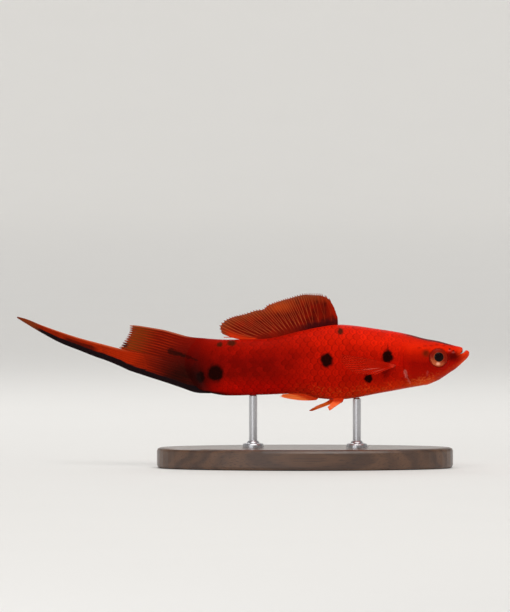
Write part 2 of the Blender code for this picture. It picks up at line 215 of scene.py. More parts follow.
class Wire:  # an output socket; an expression on wires adds its Math nodes
    def __init__(self, paint, socket):
        self.paint, self.socket = paint, socket

    def maths(self, operation, *others, swapped=False):
        values = (*others, self) if swapped else (self, *others)
        return self.paint.add("Math", {"operation": operation}, dict(enumerate(values)))

    __add__, __radd__ = operator("ADD"), operator("ADD", swapped=True)
    __sub__, __rsub__ = operator("SUBTRACT"), operator("SUBTRACT", swapped=True)
    __mul__, __truediv__, __pow__ = operator("MULTIPLY"), operator("DIVIDE"), operator("POWER")
    __or__ = operator("MAXIMUM")  # the larger of two masks

    def step(self, start, end):  # 0 at start to 1 at end, smoothly
        inputs = {"Value": self, "From Min": start, "From Max": end}
        return self.paint.add("MapRange", {"interpolation_type": "SMOOTHSTEP"}, inputs)

    def bell(self, middle, width):  # exp(-((value - middle) / width)^2)
        off = (self - middle) / width
        return (off * off * -1).maths("EXPONENT")


class Paint:  # one material, the maker of its nodes, and the colour laid on so far
    def __init__(self, name, tones=None, **constants):
        self.material = bpy.data.materials.new(name)
        self.material.use_nodes = True
        self.tree = self.material.node_tree
        self.shader = self.tree.nodes["Principled BSDF"]
        self.tones, self.colour = tones, None
        for key, value in constants.items():
            self.shader.inputs[key.replace("_", " ")].default_value = value
        self.place = self.vector("SCALE", self.add("TexCoord", output="Object"), Scale=1 / mm)

    def add(self, kind, settings=None, inputs=None, output=0):
        node = self.tree.nodes.new("ShaderNode" + kind)
        for key, value in (settings or {}).items():
            setattr(node, key, value)
        for key, value in (inputs or {}).items():
            self.feed(node.inputs[key], value)
        return Wire(self, node.outputs[output])

    def feed(self, socket, value):
        if isinstance(value, Wire):
            self.tree.links.new(value.socket, socket)
        elif isinstance(value, tuple) and socket.type == "RGBA":
            socket.default_value = (*value, 1)
        else:
            socket.default_value = value

    def vector(self, operation, *values, output=0, **named):
        inputs = dict(enumerate(values)) | named
        return self.add("VectorMath", {"operation": operation}, inputs, output)

    def parts(self, value):
        outputs = self.add("SeparateXYZ", inputs={0: value}).socket.node.outputs
        return [Wire(self, socket) for socket in outputs]

    def flat(self, x, y):
        return self.add("CombineXYZ", inputs={0: x, 1: y})

    def marks(self, *names):  # values kept on the mesh
        return [self.add("Attribute", {"attribute_name": name}, output="Fac") for name in names]

    def ramp(self, value, stops):
        wire = self.add("ValToRGB", inputs={0: value})
        elements = wire.socket.node.color_ramp.elements
        while len(elements) < len(stops):
            elements.new(0.5)
        for element, (position, colour) in zip(elements, stops):
            element.position, element.color = position, (*colour, 1)
        return wire

    def mix(self, factor, a, b, blend="MIX"):  # of sockets or tones, which go by name
        a, b = (self.tones[c] if isinstance(c, str) else c for c in (a, b))
        settings = {"data_type": "RGBA", "blend_type": blend}
        return self.add("Mix", settings, {0: factor, 6: a, 7: b}, output=2)

    def lay(self, factor, tone, blend="MIX"):  # over the colour so far
        self.colour = self.mix(factor, self.colour, tone, blend)

    def shade(self, grey):  # multiplies the colour
        self.lay(1.0, self.add("CombineColor", inputs=dict.fromkeys(range(3), grey)), "MULTIPLY")

    def noise(self, scale, detail=2.0, where=None, output=0):
        inputs = {"Vector": where or self.place, "Scale": scale, "Detail": detail}
        return self.add("TexNoise", {}, inputs, output)

    def bump(self, height, distance, strength=1.0, normal=None):
        inputs = {"Height": height, "Distance": distance * mm, "Strength": strength}
        return self.add("Bump", {}, inputs | ({"Normal": normal} if normal else {}))

    def spot(self, where, back, up, wide, tall, soft=0.16):
        # 1 inside the ellipse |(p - c) / r| < 1, and 0 past a soft edge.
        off = self.vector("SUBTRACT", where, (back, up, 0))
        off = self.vector("MULTIPLY", off, (1 / wide, 1 / tall, 0))
        return self.vector("LENGTH", off, output="Value").step(1 + soft, 1 - soft)

    def line(self, where, start, end, width, thins=0.0):
        # 1 where the distance to the stretch from start to end is under the width, which
        # falls by the share "thins" towards the end.
        start, way = np.array(start), np.subtract(end, start)
        off = self.vector("SUBTRACT", where, (*start, 0))
        share = self.vector("DOT_PRODUCT", off, (*(way / (way @ way)), 0), output="Value")
        share = share.maths("MAXIMUM", 0.0).maths("MINIMUM", 1.0)
        off = self.vector("SUBTRACT", off, self.vector("SCALE", (*way, 0), Scale=share))
        width = (1 - share * thins) * width
        return self.vector("LENGTH", off, output="Value").step(width, width * 0.35)

    def finish(self, **outputs):
        outputs["Base Color"] = self.colour
        for key, value in outputs.items():
            self.feed(self.shader.inputs[key.replace("_", " ")], value)
        return self.material


# The body: one skin over head, trunk and tail. Rings go from inside the mouth over the
# lips and back to the tail. A ring's back can differ at its top, side and bottom.
# Columns: station, back at the top, side and bottom, height of the top, the bottom and the
# widest point, half width, and fullness above and below (2 is an ellipse).
snoutRings = [
    (-1.0, 3.40, 3.40, 3.30, 1.95, 1.70, 1.80, 0.45, 2.0, 2.0),
    (-0.3, 2.60, 2.75, 2.50, 1.93, 1.70, 1.80, 0.80, 2.0, 2.0),
    (0.4, 2.05, 2.45, 1.92, 1.97, 1.76, 1.80, 1.10, 2.0, 2.0),
    (1.0, 1.75, 2.37, 1.46, 2.12, 1.94, 1.79, 1.36, 2.0, 2.0),
    (1.4, 1.67, 2.36, 1.17, 2.45, 2.36, 1.78, 1.55, 2.0, 2.0),
    (1.8, 1.66, 2.38, 0.82, 2.76, 2.62, 1.76, 1.70, 2.0, 2.0),
    (2.2, 1.69, 2.43, 0.34, 3.04, 2.48, 1.74, 1.81, 2.0, 2.0),
    (2.6, 1.79, 2.52, 0.05, 3.22, 2.00, 1.72, 1.89, 2.0, 2.0),
    (3.0, 1.98, 2.68, 0.14, 3.36, 1.40, 1.68, 1.95, 2.0, 2.0),
    (3.4, 2.27, 2.90, 0.50, 3.45, 0.80, 1.60, 2.00, 2.0, 2.0),
    (3.8, 2.66, 3.20, 1.15, 3.55, 0.12, 1.50, 2.07, 2.1, 2.0),
    (4.4, 3.40, 3.82, 2.30, 3.74, -1.00, 1.25, 2.22, 2.3, 2.0),
    (5.0, 4.40, 4.70, 3.60, 4.02, -2.10, 1.05, 2.47, 2.5, 2.0),
    (5.6, 5.20, 5.40, 4.70, 4.24, -2.83, 0.92, 2.68, 2.6, 2.0),
    (6.4, 6.20, 6.30, 6.00, 4.51, -3.72, 0.76, 2.97, 2.7, 2.1),
]
# Behind the snout a ring is flat: back, top, bottom, widest, half width, fullness
bodyRings = [
    (7.5, 4.86, -4.60, 0.60, 3.35, 2.8, 2.1),
    (11.0, 5.52, -5.88, 0.20, 4.05, 2.5, 2.0),
    (15.0, 6.57, -6.60, -0.20, 4.60, 2.1, 2.0),
    (21.0, 7.64, -7.70, -0.50, 4.95, 1.95, 2.0),
    (32.2, 8.90, -9.40, -0.80, 5.05, 1.9, 2.1),
    (36.8, 8.28, -9.10, -1.00, 4.85, 1.9, 2.1),
    (41.2, 7.35, -7.92, -1.10, 4.35, 1.9, 2.0),
    (49.7, 5.50, -8.24, -1.40, 3.50, 1.9, 1.9),
    (58.7, 5.22, -8.50, -1.50, 2.75, 1.9, 1.9),
    (64.0, 5.47, -7.70, -1.10, 2.10, 1.9, 1.9),
    (67.8, 5.82, -6.50, -0.80, 0.85, 1.9, 1.9),
    (71.0, 6.30, -5.60, -0.70, 0.55, 1.9, 1.9),
]
skin = {
    "columns": 208, "fineness": 481,  # points on which the arcs of a half ring are measured
    "rows": [(-1.0, 7.5, 96), (7.5, 17.5, 104), (17.5, 64.0, 168), (64.0, 70.3, 44)],
    "gullet": 0.15,  # how far the middle of the first ring lies behind it
    "inset": 0.05,  # the depth of the scales
    "lipArch": 1.4,  # how far the lower lip's middle stands over its sides
    "mouthDepth": 1.5,  # stations under this are inside the mouth
    "forkBow": (3.0, -0.7, 6.4),  # the tail's end is an arc: depth, middle, half height
    "bowed": (51, 67.5),  # the stretch over which the rings take up that arc
    "tailEnd": (65.5, 70.3, 0.90),  # where the flesh thins into the fin, and by how much
}
# Station of the gill cover's rear edge, by the share of the way from back to belly
gillEdge = [(0.0, 13.2), (0.22, 14.2), (0.3, 15.3), (0.4, 16.1), (0.5, 16.2), (0.6, 15.9),
            (0.7, 15.2), (0.8, 13.9), (0.9, 11.9), (1.0, 10.3)]
headRelief = {  # depths and heights in millimetres, out of the skin
    "eyePit": (-1.45, 2.36, 1.92),  # depth, and the radii that it starts and ends at
    "orbit": (0.08, 2.52, 0.26),  # height, radius and width of the rim
    "orbitGroove": (-0.05, 3.06, 0.18),
    "brow": (0.07, 3.35, 0.40),
    "chin": -0.06, "throat": -0.05,  # a crease, and the folds behind it
    "gillCover": 0.15,
    "gillGroove": -0.13,
    "cheekPlate": (7.3, -0.1, 4.05, -0.07, 0.05),  # arc's middle, radius, groove, rise
    "jawGroove": (4.4, 1.0, 1.55, -0.06),  # arc's middle, radius and height
    "nostrils": [(4.88, 2.94), (3.96, 2.48)],
    "pores": [(9.4, 3.84), (10.8, 3.75), (6.27, 3.77), (12.3, 3.3), (8.0, 4.05)],
    "pits": {  # depth and width of each, and the rim's height, radius and width
        "nostrils": (0.22, 0.17, 0.05, 0.34, 0.13),
        "pores": (0.07, 0.13, 0.02, 0.26, 0.10),
    },
    "finLobe": (18.9, -1.3, 0.30, 1.1),  # the pectoral fin's base: back, up, height, radius
}


def forkBow(up):
    # -depth ((up - middle) / half height)^2
    depth, middle, half = skin["forkBow"]
    return -depth * ((up - middle) / half) ** 2


allRings = np.array(snoutRings + [(b, b, b, b, *rest) for b, *rest in bodyRings])
Ring = namedtuple("Ring", "backTop backSide backBottom top bottom widest half above below")


def ringAt(station):
    return Ring(*smoothCurve(allRings, station))


def crossSection(station, angle):
    # Superellipse of half width w and reach r: side = w cos^(2/n), up = widest + r sin^(2/n).
    # Its back goes from the side's to the top's or bottom's with sin, or with sin^2
    # behind the lips, and near the tail each point takes the ring at its own bowed place.
    station, angle = np.broadcast_arrays(station, angle)
    sine, cosine = np.sin(angle), np.cos(angle)
    upper = sine >= 0
    curl = 1 + skin["lipArch"] * (1 - ease(station, 2.6, 3.8)) * ~upper
    bowed = ease(station, *skin["bowed"])
    at = station
    for _ in range(5):
        ring = ringAt(at)
        power = 2 / np.where(upper, ring.above, ring.below)
        reach = np.where(upper, ring.top, ring.bottom) - ring.widest
        up = ring.widest + reach * np.abs(sine) ** (power * curl)
        at = station + bowed * forkBow(up)
    start, end, thinned = skin["tailEnd"]
    half = ring.half * (1 - thinned * ease(station, start, end))
    side = np.sign(cosine) * half * np.abs(cosine) ** power
    middle = np.where(upper, ring.backTop, ring.backBottom)
    sweep = 1 + ease(station, 3.2, 5.0)
    back = ring.backSide + (middle - ring.backSide) * np.abs(sine) ** sweep
    return np.stack([back, side, up], -1)


def reliefOf(station, girth, place):
    # The sum of the head's hollows and swellings, each a bell or an ease of a distance.
    back, side, up = np.moveaxis(place, -1, 0)
    r = headRelief
    far = np.hypot(back - eyeBack, up - eyeUp)
    depth, start, end = r["eyePit"]
    relief = depth * ease(far, start, end)
    overEye = ease(up, 1.4, 3.2) * ease(girth, 0.08, 0.2)
    for key, limit in (("orbit", 1), ("orbitGroove", ease(up, 2.0, 0.4)), ("brow", overEye)):
        height, radius, width = r[key]
        relief = relief + height * bell(far, radius, width) * limit
    edge = station - smoothCurve(gillEdge, girth)[0]
    below = ease(girth, 0.20, 0.42)
    cover = ease(edge, -5.0, -0.3) * (1 - ease(edge, -0.07, 0.07))
    relief = relief + below * r["gillCover"] * cover
    relief = relief + below * r["gillGroove"] * bell(edge, 0.20, 0.24)
    middleBack, middleUp, radius, groove, rise = r["cheekPlate"]
    far = np.hypot(back - middleBack, up - middleUp) - radius
    plate = groove * bell(far, 0, 0.16) + rise * bell(far, 0.5, 0.45)
    relief = relief + ease(back, 6.3, 8.3) * (1 - ease(up, 1.2, 2.6)) * plate
    middleBack, middleUp, radius, height = r["jawGroove"]
    far = np.hypot(back - middleBack, (up - middleUp) * 0.8) - radius
    relief = relief + height * bell(far, 0, 0.16) * ease(back, 4.2, 3.3) * ease(up, 2.2, 1.2)
    for key, (depth, width, rim, radius, rimWidth) in r["pits"].items():
        for pitBack, pitUp in r[key]:
            far = np.hypot(back - pitBack, up - pitUp)
            relief = relief - depth * bell(far, 0, width) + rim * bell(far, radius, rimWidth)
    chin = ease(girth, 0.80, 0.95) * ease(station, 5.0, 6.0) * (1 - ease(station, 8.5, 11.0))
    folds = 0.5 + 0.5 * np.cos(2 * pi * (edge + 0.4) / 0.8)
    throat = folds * ease(girth, 0.80, 0.88) * bell(edge, -2.2, 1.2)
    relief = relief + r["chin"] * bell(side, 0, 0.22) * chin + r["throat"] * throat
    lobeBack, lobeUp, height, radius = r["finLobe"]
    lobe = bell(np.hypot(back - lobeBack, up - lobeUp), 0, radius) * ease(edge, 0.0, 0.4)
    return height * lobe + ease(station, 3.4, 4.6) * (relief - skin["inset"])


def makeSkin():
    # Columns stand at even shares of the arc from back to belly, and the right side
    # mirrors the left. The relief moves each point along its normal.
    spans = [np.linspace(a, b, n, endpoint=False) for a, b, n in skin["rows"]]
    stations = np.append(np.concatenate(spans), skin["rows"][-1][1])[:, None]
    fine = np.linspace(pi / 2, -pi / 2, skin["fineness"])
    steps = np.linalg.norm(np.diff(crossSection(stations, fine), axis=1), axis=-1)
    arcs = np.pad(np.cumsum(steps, axis=1), ((0, 0), (1, 0)))
    wanted = np.linspace(0, 1, skin["columns"] // 2 + 1)
    angles = np.array([np.interp(wanted, arc / arc[-1], fine) for arc in arcs])
    left = crossSection(stations, angles)
    grid = np.concatenate([left, left[:, -2:0:-1] * (1, -1, 1)], axis=1)
    girth = np.concatenate([wanted, wanted[-2:0:-1]]) + 0 * stations
    station = stations + 0 * girth
    grid = grid + normalsOf(grid, closed=True) * reliefOf(station, girth, grid)[..., None]
    skin.update(stations=stations[:, 0], grid=grid, normal=normalsOf(grid, closed=True))
    points, quads, fans = capped(grid)
    points[-2, 0] += skin["gullet"]
    marks = {  # the last two points are the middles of the ends
        "girth": np.append(girth, (0.5, 0.5)),
        "station": np.append(station, (-1.2, stations[-1, 0])),
        "drop": np.append(ringAt(stations).top - grid[..., 2], (2.0, 2.0)),
    }
    return makeMesh("skin", posed(*points.T), quads, fans, marks)


def onSkin(station, share, height):
    # A point over the skin, read between the grid's points: station along it, share of
    # the way round from the back over the left side, height along the normal.
    rows, columns = skin["grid"].shape[:2]
    row = np.interp(station, skin["stations"], np.arange(rows))
    column = (share % 1) * columns
    i = np.minimum(row.astype(int), rows - 2)
    j = column.astype(int) % columns
    a, b = (row - i)[..., None], (column - j)[..., None]

    def read(grid):
        near, far = (between((grid[k, j], grid[k, (j + 1) % columns]), b) for k in (i, i + 1))
        return between((near, far), a)

    return read(skin["grid"]) + read(skin["normal"]) * height[..., None]


# Scales: closed plates in staggered rows, each over the one behind it
scales = {
    "rowsRound": 30,
    "spacing": 1.72,
    "length": 3.0,
    "shorterOnTail": 0.25,
    "halfWidth": 0.82,  # in rows
    "round": 0.72,  # 0 is a straight rear edge, and 1 a half ellipse
    "kept": (0.72, 0.9),  # shares of a plate that lie behind the gill cover, and on the skin
    "lift": 0.034,  # how high the rear edge stands
    "sunk": 0.012,
    "thickness": 0.08,
    "from": 9.2,  # the first scales, on the nape
    "to": 65.8,
    "grid": (5, 7),
    "patch": 0.003,  # a plate's size on the unwrap
    "unwrapped": 72,  # the length that the unwrap shows
}


def girthOf(share):
    # 0 on the back to 1 on the belly, on both sides.
    return 2 * np.minimum(share % 1, 1 - share % 1)


def scaleLimit(share):
    # Scales start at the gill cover's edge, and further forward on the nape.
    girth = girthOf(share)
    edge = smoothCurve(gillEdge, girth)[0] + 0.08
    return edge + (scales["from"] - edge) * (1 - ease(girth, 0.19, 0.26))


def makeScales():
    # A plate's point is its root + length a sqrt(1 - round b^2), b across it, and its height
    # is the lift times its distance from the root, so that each lies over the next.
    s = scales
    steps = np.arange(s["from"], s["to"], s["spacing"])
    row, step = np.meshgrid(np.arange(s["rowsRound"]), np.arange(len(steps)))
    root = steps[step] + (row % 2) * s["spacing"] / 2
    root = (root + rng.normal(0, 0.03, root.shape)).ravel()
    share = row.ravel() / s["rowsRound"]
    reach = s["length"] * (1 - s["shorterOnTail"] * ease(root, 45, 66))
    behind, ahead = s["kept"]
    kept = root + behind * reach > scaleLimit(share)
    kept &= root + ahead * reach < skin["stations"][-1]
    root, share, reach = (values[kept][:, None, None] for values in (root, share, reach))
    a = np.linspace(0, 1, s["grid"][0])[:, None]
    b = np.linspace(-1, 1, s["grid"][1])
    around = share + b * s["halfWidth"] / s["rowsRound"] + 0 * a
    front = np.maximum(root, scaleLimit(around) + 0.03)
    rear = np.maximum(root + reach * np.sqrt(1 - s["round"] * b**2), front + 0.2)
    station = between((front, rear), a)
    lift = s["lift"] * (0.35 + 0.65 * ease(station, 12, 20)) * (1 - 0.7 * ease(station, 56, 66))
    height = lift * (station - root) / reach - s["sunk"]
    plates = [onSkin(station, around, over) for over in (height, height - s["thickness"])]
    points = np.concatenate(plates, axis=1).reshape(-1, 3)

    def twice(values):  # for the top and the underside of each plate
        return np.concatenate([np.broadcast_to(values, station.shape)] * 2, axis=1).ravel()

    count, size = len(station), len(points) // len(station)
    marks = {
        "girth": girthOf(twice(around)),
        "station": twice(station),
        "drop": ringAt(twice(station)).top - points[:, 2],
        "reach": twice(a),
        "across": twice(b),
        "chance": np.repeat(rng.random(count), size),
    }
    quads = sheetQuads(*s["grid"]) + np.arange(count)[:, None, None] * size
    made = makeMesh("scales", posed(*points.T), quads.reshape(-1, 4), marks=marks)
    made.data.set_sharp_from_angle(angle=radians(40))
    u = 0.01 + 0.98 * root / s["unwrapped"] + (a - 0.5) * s["patch"]
    v = 0.01 + 0.98 * share + b * s["patch"] / 2
    corner = np.empty(len(made.data.loops), int)
    made.data.loops.foreach_get("vertex_index", corner)
    places = np.stack([twice(u), twice(v)], -1)[corner]
    layer = made.data.uv_layers.new(name="OFBake")
    layer.uv.foreach_set("vector", places.astype(np.float32).ravel())
    return made


# Fins: closed sheets with raised, jointed rays that branch towards the edge. Across goes
# from the first ray to the last, and along from the root to the tips, both from 0 to 1.
def rayPattern(across, along, fin):
    # Distance to the nearest branch, in ray spacings: each fork folds |distance - spread|.
    # The branches part over the stretch "over". The foremost rays, up to the share
    # "whole", fork later.
    last = fin["rays"] - 1
    ray = across * last
    number = np.clip(np.round(ray).astype(int), 0, last)
    late = rng.normal(0, 0.03, fin["rays"])[number]
    if "whole" in fin:
        late = late + 0.75 * (1 - ease(number / last, 0, fin["whole"]))
    off = np.abs(ray - number)
    for fork, spread in zip(fin["forks"], fin["spreads"]):
        parted = ease(along, fork + late, fork + late + fin.get("over", 0.9))
        off = np.abs(off - spread * parted)
    return bell(off, 0, fin["rayWidth"])


def finGrid(fin):
    across = np.linspace(0, 1, (fin["rays"] - 1) * fin["perRay"] + 1)
    return np.meshgrid(across, np.linspace(0, 1, fin["rows"]))


def frayed(along, ray, fray, power=8):
    # The membrane's edge is drawn in between the branches.
    return along * (1 - fray * (1 - ray[-1]) * along**power)


def fanOut(tips, across, along, rootBack, rootUp, lean=1.0, rise=1.0):
    # From root to tip on each ray: back goes with along^lean, and up with along^rise.
    tipBack, tipUp = smoothCurve(tips, across)
    back, up = between((rootBack, tipBack), along**lean), between((rootUp, tipUp), along**rise)
    return back, up


def makeFin(name, place, thickness, tube=None, **marks):
    # A sheet at its back, side and up, with the values that its paint reads. A tube has
    # points, faces and its own values.
    points, quads = sheetShell(posed(*place), thickness)
    marks = {key: np.tile(values.ravel(), 2) for key, values in marks.items()}
    if tube:
        more, faces, values = tube
        quads = np.concatenate([quads, faces + len(points)])
        points = np.concatenate([points, more])
        marks = {key: np.append(marks[key], np.full(len(more), values[key])) for key in marks}
    return makeMesh(name, points, quads, marks=marks)


dorsal = {
    "rays": 14, "perRay": 38, "rows": 60,
    "base": (32.0, 51.8),  # where the first and last ray leave the back
    "tips": [(0.0, 32.1, 10.7), (0.035, 33.4, 14.1), (0.078, 34.5, 15.7), (0.15, 36.6, 16.55),
             (0.28, 39.6, 16.6), (0.42, 43.9, 15.55), (0.57, 48.2, 14.2), (0.605, 49.4, 13.65),
             (0.64, 50.3, 12.80), (0.69, 52.2, 12.45), (0.76, 54.8, 11.6), (0.84, 57.4, 10.95),
             (0.90, 59.3, 10.2), (0.96, 60.9, 8.3), (1.0, 60.4, 6.7)],
    "lean": [(0.0, 1.5), (0.4, 1.05), (1.0, 0.85)],  # how rays curve, over 1 is backwards
    "forks": (-0.40, 0.04), "spreads": (0.24, 0.12), "rayWidth": 0.036, "over": 0.45,
    "whole": 0.50,
    "membrane": 0.15, "ridge": 0.08, "sink": 0.60, "fray": 0.045, "sag": 0.90,
    "wave": 0.25, "ripple": 0.05, "flesh": 0.5,
    "lastRay": [(0.0, 55.3, 5.30), (0.3, 56.6, 5.62), (0.7, 58.4, 5.74), (1.0, 59.9, 5.72)],
    "lastRadii": (0.17, 0.08), "lastGrid": (24, 10),  # it stands free, as a tube
    "lastMarks": {"across": 1.0, "along": 0.3, "ray": 1.0, "height": 0.5},
}


def taperedTube(path, radii, steps, around):
    # Circles of falling radius along a smooth path in the midline, closed at both ends.
    t = np.linspace(0, 1, steps)
    back, up = smoothCurve(path, t)[..., None]
    radius = between(radii, t)
    radius[[0, -1]] = 0.004
    side, rise, _ = np.moveaxis(turned(radius, radius, around), -1, 0)
    ring = np.arange(around)
    caps = []
    for ends in (ring, ring[::-1] + (steps - 1) * around):
        caps += [[ends[0], *ends[k:k + 3]] for k in range(1, around - 2, 2)]
    quads = np.concatenate([gridQuads(steps, around, closed=True), caps])
    return posed(back + 0 * side, side, up + rise).reshape(-1, 3), quads


def makeDorsalFin():
    # The rays fan out, side waves as v^2 sin(u), and the base sinks into the back.
    d = dorsal
    u, v = finGrid(d)
    ray = rayPattern(u, v, d)
    along = frayed(v, ray, d["fray"] * (1.9 - 0.9 * ease(u, 0.1, 0.4)))
    rootBack = between(d["base"], u)
    rootUp = ringAt(rootBack).top + 0.3
    back, up = fanOut(d["tips"], u, along, rootBack, rootUp, lean=smoothCurve(d["lean"], u)[0])
    up = up - d["sink"] * (1 - ease(v, 0, 0.1))
    up = up - d["sag"] * ease(u, 0.84, 1.0) * np.sin(pi * np.clip(along, 0, 1) ** 0.75)
    side = d["wave"] * np.sin(2 * pi * (u * 1.6 + 0.1)) * v**2
    side = side + d["ripple"] * np.cos(2 * pi * u * (d["rays"] - 1)) * ease(v, 0.1, 0.5)
    flesh = d["flesh"] * (1 - ease(v, 0, 0.20))
    taper = 1 - 0.62 * ease(v, 0.25, 1.0)
    thickness = d["membrane"] * (1 - 0.4 * v) + flesh + d["ridge"] * ray * taper
    height = np.hypot(back - rootBack, up - rootUp)
    tube = (*taperedTube(d["lastRay"], d["lastRadii"], *d["lastGrid"]), d["lastMarks"])
    return makeFin("dorsal_fin_rays", (back, side, up), thickness, tube,
                   across=u, along=v, ray=ray, height=height)


caudal = {
    "rays": 11, "perRay": 42, "rows": 64,
    "root": 66.6,  # the sheet starts inside the flesh
    "tips": [(0.0, 82.7, 8.65), (0.1, 82.7, 7.65), (0.25, 83.2, 6.1), (0.42, 84.4, 4.3),
             (0.50, 84.9, 3.45), (0.56, 85.5, 2.80), (0.64, 84.8, 1.95), (1.0, 82.3, -2.66)],
    # Heights added along the top ray and along the lowest one
    "arch": [(0.0, 0.0), (0.23, -0.33), (0.42, 0.0), (0.58, 0.25), (0.85, 0.18), (1.0, 0.0)],
    "droop": [(0.0, -0.2), (0.21, -0.98), (0.36, -0.74), (0.59, -0.43), (0.81, -0.23),
              (0.92, -0.12), (1.0, 0.0)],
    "forks": (0.0, 0.80), "spreads": (0.25, 0.125), "rayWidth": 0.10, "over": 0.30,
    "membrane": 0.20, "ridge": 0.08, "fray": 0.050, "wave": 0.3,
    "swordFrom": (0.54, 0.60),
    "swordRays": 0.56,  # rays past this share of the way down run on into the sword
}
sword = {
    "rows": 180, "start": 75.0,  # it grows out of the caudal fin
    "top": [(75.0, 0.70), (79.0, 1.50), (82.6, 2.24), (85.6, 2.93), (89.8, 4.0), (94.7, 5.25),
            (99.5, 6.75), (104.4, 8.45), (108.2, 9.95), (110.25, 10.45)],
    "bottom": [(75.0, -4.45), (79.0, -3.5), (80.8, -3.08), (82.3, -2.68), (85.0, -1.50),
               (88.2, -0.18), (91.1, 0.80), (94.7, 2.2), (99.5, 4.05), (104.4, 6.62),
               (108.2, 8.85), (110.25, 10.12)],
    "thickness": 0.42, "plump": 0.16, "ridge": 0.07, "bladeFrom": 81.5,
}


def forkEnds():
    # The heights where the bowed end of the flesh meets its top and bottom outlines.
    up = np.linspace(8, -10, 400)
    ring = ringAt(skin["bowed"][1] + forkBow(up))
    inside = up[(up < ring.top) & (up > ring.bottom)]
    return inside[0] - 0.05, inside[-1] - 0.05


def makeCaudalFin():
    # Rays from the bowed root to the tips, the top ones arched, and the lower ones run on
    # into the sword.
    c = caudal
    u, v = finGrid(c)
    ray = rayPattern(u, v, c)
    onSword = ease(u, *c["swordFrom"])
    along = frayed(v, ray, c["fray"] * (1 - onSword))
    rootUp = between(forkEnds(), u)
    back, up = fanOut(c["tips"], u, along, c["root"] + forkBow(rootUp), rootUp)
    up = up + smoothCurve(c["arch"], along)[0] * (1 - ease(u, 0, 0.5))
    up = up + smoothCurve(c["droop"], along)[0] * ease(u, 0.6, 1)
    side = c["wave"] * np.sin(pi * u) * v**2 * (1 - onSword)
    edge = 1 - 0.6 * bell(u, 0, 0.02)
    taper = 1 - 0.65 * ease(v, 0.3, 1.0) * (1 - onSword)
    thick = between((c["membrane"], sword["thickness"]), onSword * ease(v, 0.1, 0.5))
    thick = thick - 0.38 * onSword * ease(v, 0.62, 1.0)  # the sword takes over
    thickness = (thick * (1 - 0.4 * v * (1 - onSword)) + c["ridge"] * ray * taper) * edge
    down = (u - c["swordRays"]) / (1 - c["swordRays"])
    return makeFin("caudal_fin_rays", (back, side, up), thickness,
                   across=u, along=v, ray=ray, down=down)


def makeSword():
    # The caudal fin's lower rays run on between the sword's two edges and meet at its tip.
    s, c = sword, caudal
    columns = int((c["rays"] - 1) * c["perRay"] * (1 - c["swordRays"]))
    share = np.linspace(c["swordRays"], 1, columns)
    u, v = np.meshgrid(share, np.linspace(0, 1, s["rows"]))
    back = between((s["start"], s["top"][-1][0]), v)
    along = np.clip((back - c["root"]) / (c["tips"][-1][1] - c["root"]), 0, 1)
    ray = rayPattern(u, along, c)
    down = (u - share[0]) / (1 - share[0])
    up = between((smoothCurve(s["top"], back)[0], smoothCurve(s["bottom"], back)[0]), down)
    plump = s["plump"] * np.sqrt(np.clip(1 - (2 * down - 1) ** 2, 0, 1)) * (1 - v)
    rim = 1 - 0.5 * (bell(down, 0, 0.03) + bell(down, 1, 0.03))
    rim = rim * (0.15 + 0.85 * ease(back, s["start"], s["bladeFrom"]))
    ridges = s["ridge"] * ray * (1 - 0.6 * v)
    thickness = (s["thickness"] * (1 - 0.55 * v) + plump + ridges) * rim * 1.02
    return makeFin("sword_rays", (back, 0, up), thickness,
                   across=u, along=along, ray=ray, down=down)


pectoral = {
    "rays": 13, "perRay": 16, "rows": 56,
    "root": [(0.0, 18.1, -0.88), (1.0, 18.35, -1.32)],
    "tips": [(0.0, 31.4, 2.0), (0.3, 31.5, 0.3), (0.55, 30.2, -1.5), (0.8, 26.8, -2.9),
             (1.0, 22.8, -3.1)],
    "forks": (0.38, 0.68), "spreads": (0.24, 0.12), "rayWidth": 0.075,
    "membrane": 0.10, "ridge": 0.15, "fray": 0.035, "standsOff": 0.95, "flare": 2.3,
    "ripple": 0.05, "flesh": 0.5, "sink": 0.75,
}


def skinSide(back, up):
    # The half width of the body at a height, w (1 - (off / reach)^n)^(1/n).
    ring = ringAt(back)
    upper = up >= ring.widest
    power = np.where(upper, ring.above, ring.below)
    reach = np.where(upper, ring.top - ring.widest, ring.widest - ring.bottom)
    off = np.clip(np.abs(up - ring.widest) / reach, 0, 1)
    return ring.half * (1 - off**power) ** (1 / power)


def skinBottom(back, side):
    # The height of the belly at a distance from the midline.
    ring = ringAt(back)
    share = (1 - np.abs(side / ring.half) ** ring.below) ** (1 / ring.below)
    return between((ring.widest, ring.bottom), share)


def makePectoralFins():
    # Rays fan out from the gill cover's edge and stand off the side as 1 - exp(-9 v).
    p = pectoral
    u, v = finGrid(p)
    ray = rayPattern(u, v, p)
    along = frayed(v, ray, p["fray"])
    back, up = fanOut(p["tips"], u, along, *smoothCurve(p["root"], u), 1.35, 1.0 + 0.9 * u)
    sunk = p["sink"] * (1 - ease(v, 0, 0.12))
    off = 0.3 + p["standsOff"] * (1 - np.exp(-v * 9)) + p["flare"] * v - sunk
    off = off + p["ripple"] * np.cos(2 * pi * u * (p["rays"] - 1)) * v + skinSide(back, up)
    flesh = p["flesh"] * (1 - ease(v, 0, 0.22))
    thickness = p["membrane"] * (1 - 0.4 * v) + flesh + p["ridge"] * ray * (1 - 0.6 * v)
    return [makeFin(f"pectoral_rays_{name}", (back, sign * off, up), thickness,
                    across=u, along=v, ray=ray) for name, sign in sides]


